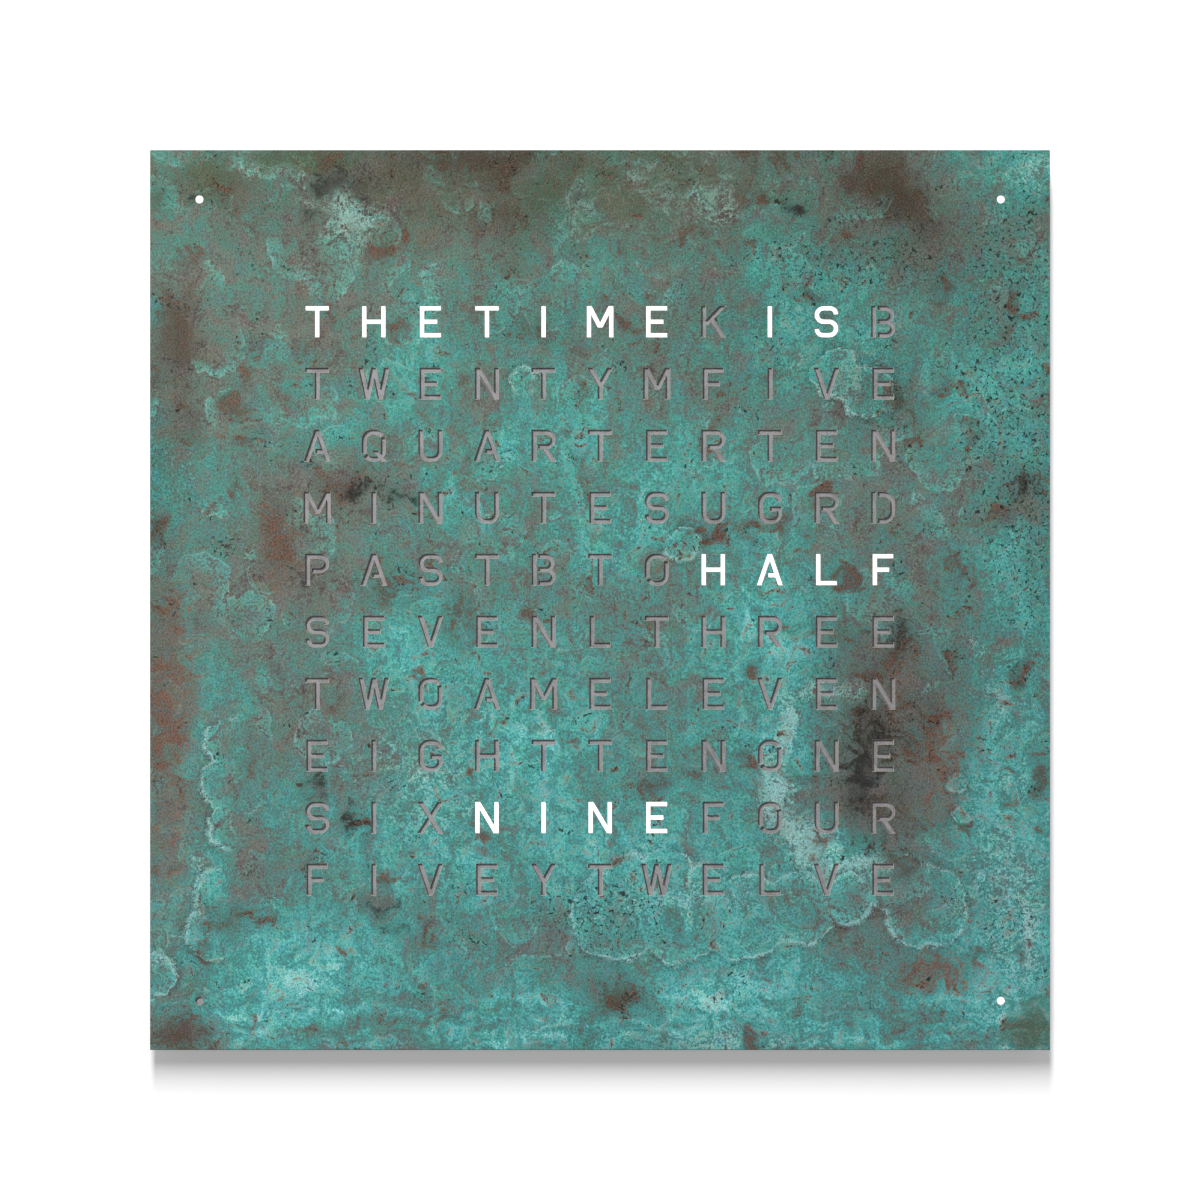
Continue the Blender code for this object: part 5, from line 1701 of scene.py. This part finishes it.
@dataclass
class Electronics:
    """Controller, cell, cables, power inlet and key board."""

    finishes: Finishes

    def build(self) -> None:
        """Dress the electronics."""
        dressed = {
            "controller_board": self.finishes.controller,
            "coin_cell_holder": self.finishes.black,
            "coin_cell": self.finishes.cell,
            "ribbon_cable": self.finishes.ribbon,
            "power_lead": self.finishes.lead_black,
            "button_lead": self.finishes.lead_grey,
            "dc_inlet": self.finishes.black,
            "cable_well": self.finishes.carrier,
            "button_board": self.finishes.keys,
            "sensor_light_guide": self.finishes.rod,
        }
        for node, material in dressed.items():
            self.finishes.dress(node, material)
        LOG.info("electronics")


@dataclass
class Keys:
    """The three keys in the lower rail, each with the plunger of its switch."""

    finishes: Finishes
    names: tuple[str, ...] = ("mode", "plus", "minus")
    first: float = 130.0
    pitch: float = 15.0
    depth: float = 7.6
    face: tuple[Point, ...] = ((0.05, 0.28), (1.2, 0.24), (2.1, 0.08), (2.5, 0.0), (2.8, 0.08), (3.0, 0.4))
    radius: float = 3.0
    flange_radius: float = 4.1
    flange_low: float = -215.7
    flange_high: float = -214.7
    post_radius: float = 1.25
    post_top: float = -213.4
    rail: float = -222.0
    proud: float = 0.8

    def build(self) -> None:
        """Build each cap with its dished end, and dress the plungers."""
        low = self.rail - self.proud
        profile = [(radius, low + rise) for radius, rise in self.face]
        profile += [(self.radius, self.flange_low), (self.flange_radius, self.flange_low)]
        profile += [(self.flange_radius, self.flange_high), (self.post_radius, self.flange_high)]
        profile += [(self.post_radius, self.post_top)]
        for number, name in enumerate(self.names):
            centre = (self.first + number * self.pitch, self.depth)
            cap = Shape(f"{name}_cap").turned(Axis.UP, centre, profile, 36)
            cap.piece(self.finishes.button, f"{name}_key", "button_plastic", [f"{name}_button"], 30)
            self.finishes.dress(f"{name}_plunger", self.finishes.white)
        LOG.info("%d keys", len(self.names))


@dataclass
class RearPanel:
    """The rear panel with its hanger plates, screws and wall bumpers."""

    finishes: Finishes
    hanger_x: float = 120.0
    hanger_z: float = 185.0
    hanger_size: tuple[float, float, float] = (60.0, 28.0, 4.0)
    hanger_thickness: float = 1.2
    hanger_rim: float = 0.15
    keyhole_drop: float = 4.5
    keyhole_radius: float = 5.0
    slot_radius: float = 2.5
    slot_travel: float = 9.0
    rivet_out: float = 23.0
    rivet_radius: float = 1.5
    rivet_dome: tuple[Point, ...] = ((0.3, -0.42), (1.1, -0.36), (1.8, -0.2), (2.3, 0.05), (2.3, 0.3))
    rivet_tail: tuple[Point, ...] = ((1.5, 3.3), (2.5, 3.3), (2.2, 3.9), (1.2, 4.1))
    screw_along: float = 190.0
    screw_out: float = 211.0
    screw_radius: float = 3.0
    screw_chamfer: Point = (0.35, 0.18)
    screw_face: float = 0.02
    screw_head: float = 1.0
    screw_shank: tuple[Point, ...] = ((2.8, 1.02), (2.4, 1.5), (1.4, 1.9), (1.4, 8.1), (0.35, 9.5))
    cross_mouth: Point = (0.42, 1.75)
    cross_hole: Point = (0.3, 1.5)
    cross_slope: float = 0.2
    bumper_out: float = 195.0
    bumper_reach: float = 2.1
    bumper_face: tuple[Point, ...] = (
        (0.3, 0.22), (2.0, 0.18), (3.2, 0.05), (3.8, 0.0), (4.4, 0.08), (4.8, 0.32), (5.0, 0.7)
    )
    bumper_root: Point = (5.0, 0.2)

    def build(self) -> None:
        """Build the plates, screws and bumpers, and dress the panel."""
        self.finishes.dress("rear_panel", self.finishes.rear)
        for side, sign in (("left", -1), ("right", 1)):
            self.hanger(side, sign * self.hanger_x)
        for quarter, side in enumerate(SIDES):
            for number, sign in ((1, -1), (2, 1)):
                along, out = sign * self.screw_along, self.screw_out
                centre = ((along, out), (out, -along), (-along, -out), (-out, along))[quarter]
                self.screw(f"{side}_{number}", centre, 17 + 40 * quarter + 23 * number)
        for corner in CORNERS:
            self.bumper(corner)
        LOG.info("rear panel, hangers, screws and bumpers")

    def keyhole(self, x: float, grow: float) -> Outline:
        """Draw a keyhole.

        Args:
            x: Where its middle line stands.
            grow: How much wider it is drawn, on each side.

        Returns:
            Its outline.
        """
        entry = self.hanger_z - self.keyhole_drop
        radius, slot = self.keyhole_radius + grow, self.slot_radius + grow
        meet = math.asin(slot / radius)
        first, sweep = math.radians(90) + meet, math.tau - 2 * meet
        points = []
        for k in range(37):
            angle = first + sweep * k / 36
            points.append((x + radius * math.cos(angle), entry + radius * math.sin(angle)))
        for k in range(17):
            angle = math.pi * k / 16
            points.append((x + slot * math.cos(angle), entry + self.slot_travel + slot * math.sin(angle)))
        return points

    def hanger(self, side: str, x: float) -> None:
        """Build one keyhole plate with its rivets.

        Args:
            side: Which plate it is.
            x: Its middle.
        """
        width, height, radius = self.hanger_size
        rim = self.hanger_rim
        outer = rounded(x, self.hanger_z, width, height, radius, 8)
        inner = rounded(x, self.hanger_z, width - 2 * rim, height - 2 * rim, radius - rim, 8)
        layers = (
            ([outer], rim),
            ([inner], 0.0),
            ([self.keyhole(x, rim)], 0.0),
            ([self.keyhole(x, 0.0)], rim),
        )
        plate = Shape(f"keyhole_plate_{side}").stencil(layers, self.hanger_thickness)
        tail = [(self.rivet_radius, self.hanger_thickness - 0.1), *self.rivet_tail]
        for sign in (-1, 1):
            centre = (x + sign * self.rivet_out, self.hanger_z)
            plate.turned(Axis.DEPTH, centre, self.rivet_dome, 24)
            plate.turned(Axis.DEPTH, centre, tail, 20)
        plate.piece(self.finishes.zinc, "housing", "hanger_zinc", [f"hanger_plate_{side}"], 35)

    def screw(self, name: str, centre: Point, turn: float) -> None:
        """Build one countersunk cross-head screw.

        Args:
            name: Which screw it is.
            centre: Where its axis stands.
            turn: How far its cross is turned, in degrees.
        """

        def cross(half: float, arm: float) -> Outline:
            """Draw the cross recess.

            Args:
                half: Half the width of an arm.
                arm: How far an arm reaches.

            Returns:
                Its outline.
            """
            points = []
            for k in range(4):
                angle = math.radians(turn + 90 * k)
                for x, z in ((arm, -half), (arm, half), (half, half)):
                    across = centre[0] + x * math.cos(angle) - z * math.sin(angle)
                    up = centre[1] + x * math.sin(angle) + z * math.cos(angle)
                    points.append((across, up))
            return points

        chamfer, edge = self.screw_chamfer
        layers = (
            ([circle(*centre, self.screw_radius, 32)], edge),
            ([circle(*centre, self.screw_radius - chamfer, 32)], self.screw_face),
            ([cross(*self.cross_mouth)], self.screw_face),
            ([cross(*self.cross_hole)], self.cross_slope),
        )
        head = Shape(f"cross_screw_{name}").stencil(layers, self.screw_head)
        head.turned(Axis.DEPTH, centre, self.screw_shank, 24)
        head.piece(self.finishes.screw, "housing", "screw_black", [f"rear_screw_{name}"], 30)

    def bumper(self, corner: str) -> None:
        """Build one rubber bumper with a rounded edge and a dished face.

        Args:
            corner: Which bumper it is.
        """
        sign_x, sign_z = corner_signs(corner)
        centre = (sign_x * self.bumper_out, sign_z * self.bumper_out)
        profile = [(radius, rise - self.bumper_reach) for radius, rise in self.bumper_face]
        foot = Shape(f"bumper_{corner}").turned(Axis.DEPTH, centre, [*profile, self.bumper_root], 40)
        foot.piece(self.finishes.rubber, "housing", "bumper_rubber", [f"wall_bumper_{corner}"], 40)


# The studio


@dataclass
class Studio:
    """Wall, floor, lights and camera."""

    wall_depth: float = -2.12
    wall_half: float = 1700.0
    floor_level: float = -450.0
    lens: float = 150.0
    frame_width: float = 0.6
    lamp_away: float = 3.0
    world: float = 0.25
    sky: float = 0.96

    def build(self) -> None:
        """Set up the studio."""
        self.set_world()
        wall = self.sheet("studio_wall", self.wall_corners(), self.wall_material())
        floor = self.sheet("studio_floor", self.floor_corners(), self.floor_material())
        for part in (wall, floor):
            part.visible_shadow = part.visible_diffuse = part.visible_glossy = False
        self.set_camera()
        backdrop = self.linked("backdrop_receivers", [wall, floor])
        meshes = [piece for piece in bpy.context.scene.objects if piece.type == "MESH"]
        own = self.linked("clock_receivers", [piece for piece in meshes if piece not in (wall, floor)])
        self.lamp("wall_key", (-0.06, 0.76, 1.0), (0.42, 2.1), 112.0, backdrop)
        self.lamp("plate_key", (-0.80, 0.86, 1.0), (0.6, 0.6), 98.0, own)
        self.lamp("rear_key", (-0.5, 0.9, -1.0), (1.4, 1.4), 90.0, own)
        self.lamp("side_key", (1.0, 0.38, -0.12), (0.9, 0.9), 60.0, own)
        LOG.info("studio")

    def linked(self, name: str, members: Iterable[bpy.types.Object]) -> bpy.types.Collection:
        """Make a collection that a lamp's light is kept to.

        Args:
            name: Its name.
            members: What the lamp lights.

        Returns:
            The collection.
        """
        made = bpy.data.collections.new(name)
        for member in members:
            made.objects.link(member)
        return made

    def wall_corners(self) -> list[tuple[float, float, float]]:
        """Return the wall's corners, facing the front."""
        half, low, y = self.wall_half * MM, self.floor_level * MM, -self.wall_depth * MM
        return [(-half, y, low), (half, y, low), (half, y, half), (-half, y, half)]

    def floor_corners(self) -> list[tuple[float, float, float]]:
        """Return the floor's corners."""
        half, low = 2 * self.wall_half * MM, self.floor_level * MM
        return [(-half, -half, low), (half, -half, low), (half, half, low), (-half, half, low)]

    def sheet(
        self, name: str, corners: Sequence[tuple[float, float, float]], material: bpy.types.Material
    ) -> bpy.types.Object:
        """Make a flat four-sided object.

        Args:
            name: Its name.
            corners: Its corners in metres.
            material: Its finish.

        Returns:
            The object.
        """
        data = bpy.data.meshes.new(name)
        data.from_pydata(corners, [], [(0, 1, 2, 3)])
        data.materials.append(material)
        made = bpy.data.objects.new(name, data)
        bpy.context.scene.collection.objects.link(made)
        return made

    def wall_material(self) -> bpy.types.Material:
        """Make the wall's white paint, which shows from the front only.

        Returns:
            The material.
        """
        graph = Graph("wall_paint")
        graph.set(Base_Color=(0.84, 0.84, 0.84), Roughness=1.0, Specular_IOR_Level=0.0)
        graph.set(Emission_Color=WHITE, Emission_Strength=0.24)
        behind = graph.node("ShaderNodeNewGeometry", out="Backfacing")
        clear = graph.node("ShaderNodeBsdfTransparent")
        solid = Value(graph, graph.shader.outputs[0])
        mixed = graph.node("ShaderNodeMixShader", {}, {0: behind, 1: solid, 2: clear})
        graph.feed(graph.tree.nodes["Material Output"].inputs["Surface"], mixed)
        return graph.material

    def floor_material(self) -> bpy.types.Material:
        """Make the floor's pale paint.

        Returns:
            The material.
        """
        graph = Graph("floor_paint")
        tone = graph.noise(graph.place(), 400, 2, 0.5).ramp(0.3, 0.7)
        graph.set(Base_Color=graph.mixed(tone, (0.215, 0.215, 0.215), (0.225, 0.225, 0.225)), Roughness=0.9)
        graph.set(Specular_IOR_Level=0.0, Emission_Color=WHITE, Emission_Strength=0.66)
        return graph.material

    def set_world(self) -> None:
        """Light everything evenly, with a white sky for the camera alone."""
        sky = Sky("studio_sky")
        seen = sky.node("ShaderNodeLightPath", out="Is Camera Ray")
        sockets = {"Value": seen, "To Min": self.world, "To Max": self.sky}
        sky.set(Strength=sky.node("ShaderNodeMapRange", {}, sockets), Color=WHITE)
        bpy.context.scene.world = sky.world
        bpy.context.scene.view_settings.view_transform = "Standard"

    def lamp(
        self,
        name: str,
        towards: tuple[float, float, float],
        size: tuple[float, float],
        power: float,
        receivers: bpy.types.Collection,
    ) -> None:
        """Add a soft light that points at the clock.

        Args:
            name: Its name.
            towards: Where it stands: right, up and in front of the clock.
            size: Its width and height in metres.
            power: Its power in watts.
            receivers: What it lights.
        """
        data = bpy.data.lights.new(name, "AREA")
        data.shape = "RECTANGLE"
        data.size, data.size_y = size
        data.energy = power
        made = bpy.data.objects.new(name, data)
        right, up, ahead = towards
        place = Vector((right, -ahead, up)).normalized() * self.lamp_away
        made.location = place
        made.rotation_euler = (-place).to_track_quat("-Z", "Y").to_euler()
        made.light_linking.receiver_collection = receivers
        bpy.context.scene.collection.objects.link(made)

    def set_camera(self) -> None:
        """Stand the camera square to the plate, so that it fills three quarters of the picture."""
        data = bpy.data.cameras.new("camera")
        data.lens = self.lens
        front = cad_low.y
        away = self.frame_width / 2 / (data.sensor_width / 2 / self.lens)
        camera = bpy.data.objects.new("camera", data)
        camera.location = (0.0, front - away, 0.0)
        camera.rotation_euler = (math.radians(90), 0.0, 0.0)
        bpy.context.scene.collection.objects.link(camera)
        bpy.context.scene.camera = camera


def main() -> None:
    """Build the clock's looks and its studio."""
    logging.basicConfig(level=logging.INFO, format="%(message)s")
    finishes = Finishes()
    FrontCover(finishes).build()
    Housing(finishes).build()
    LightEngine(finishes).build()
    Electronics(finishes).build()
    Keys(finishes).build()
    RearPanel(finishes).build()
    Studio().build()


if __name__ == "__main__":
    main()
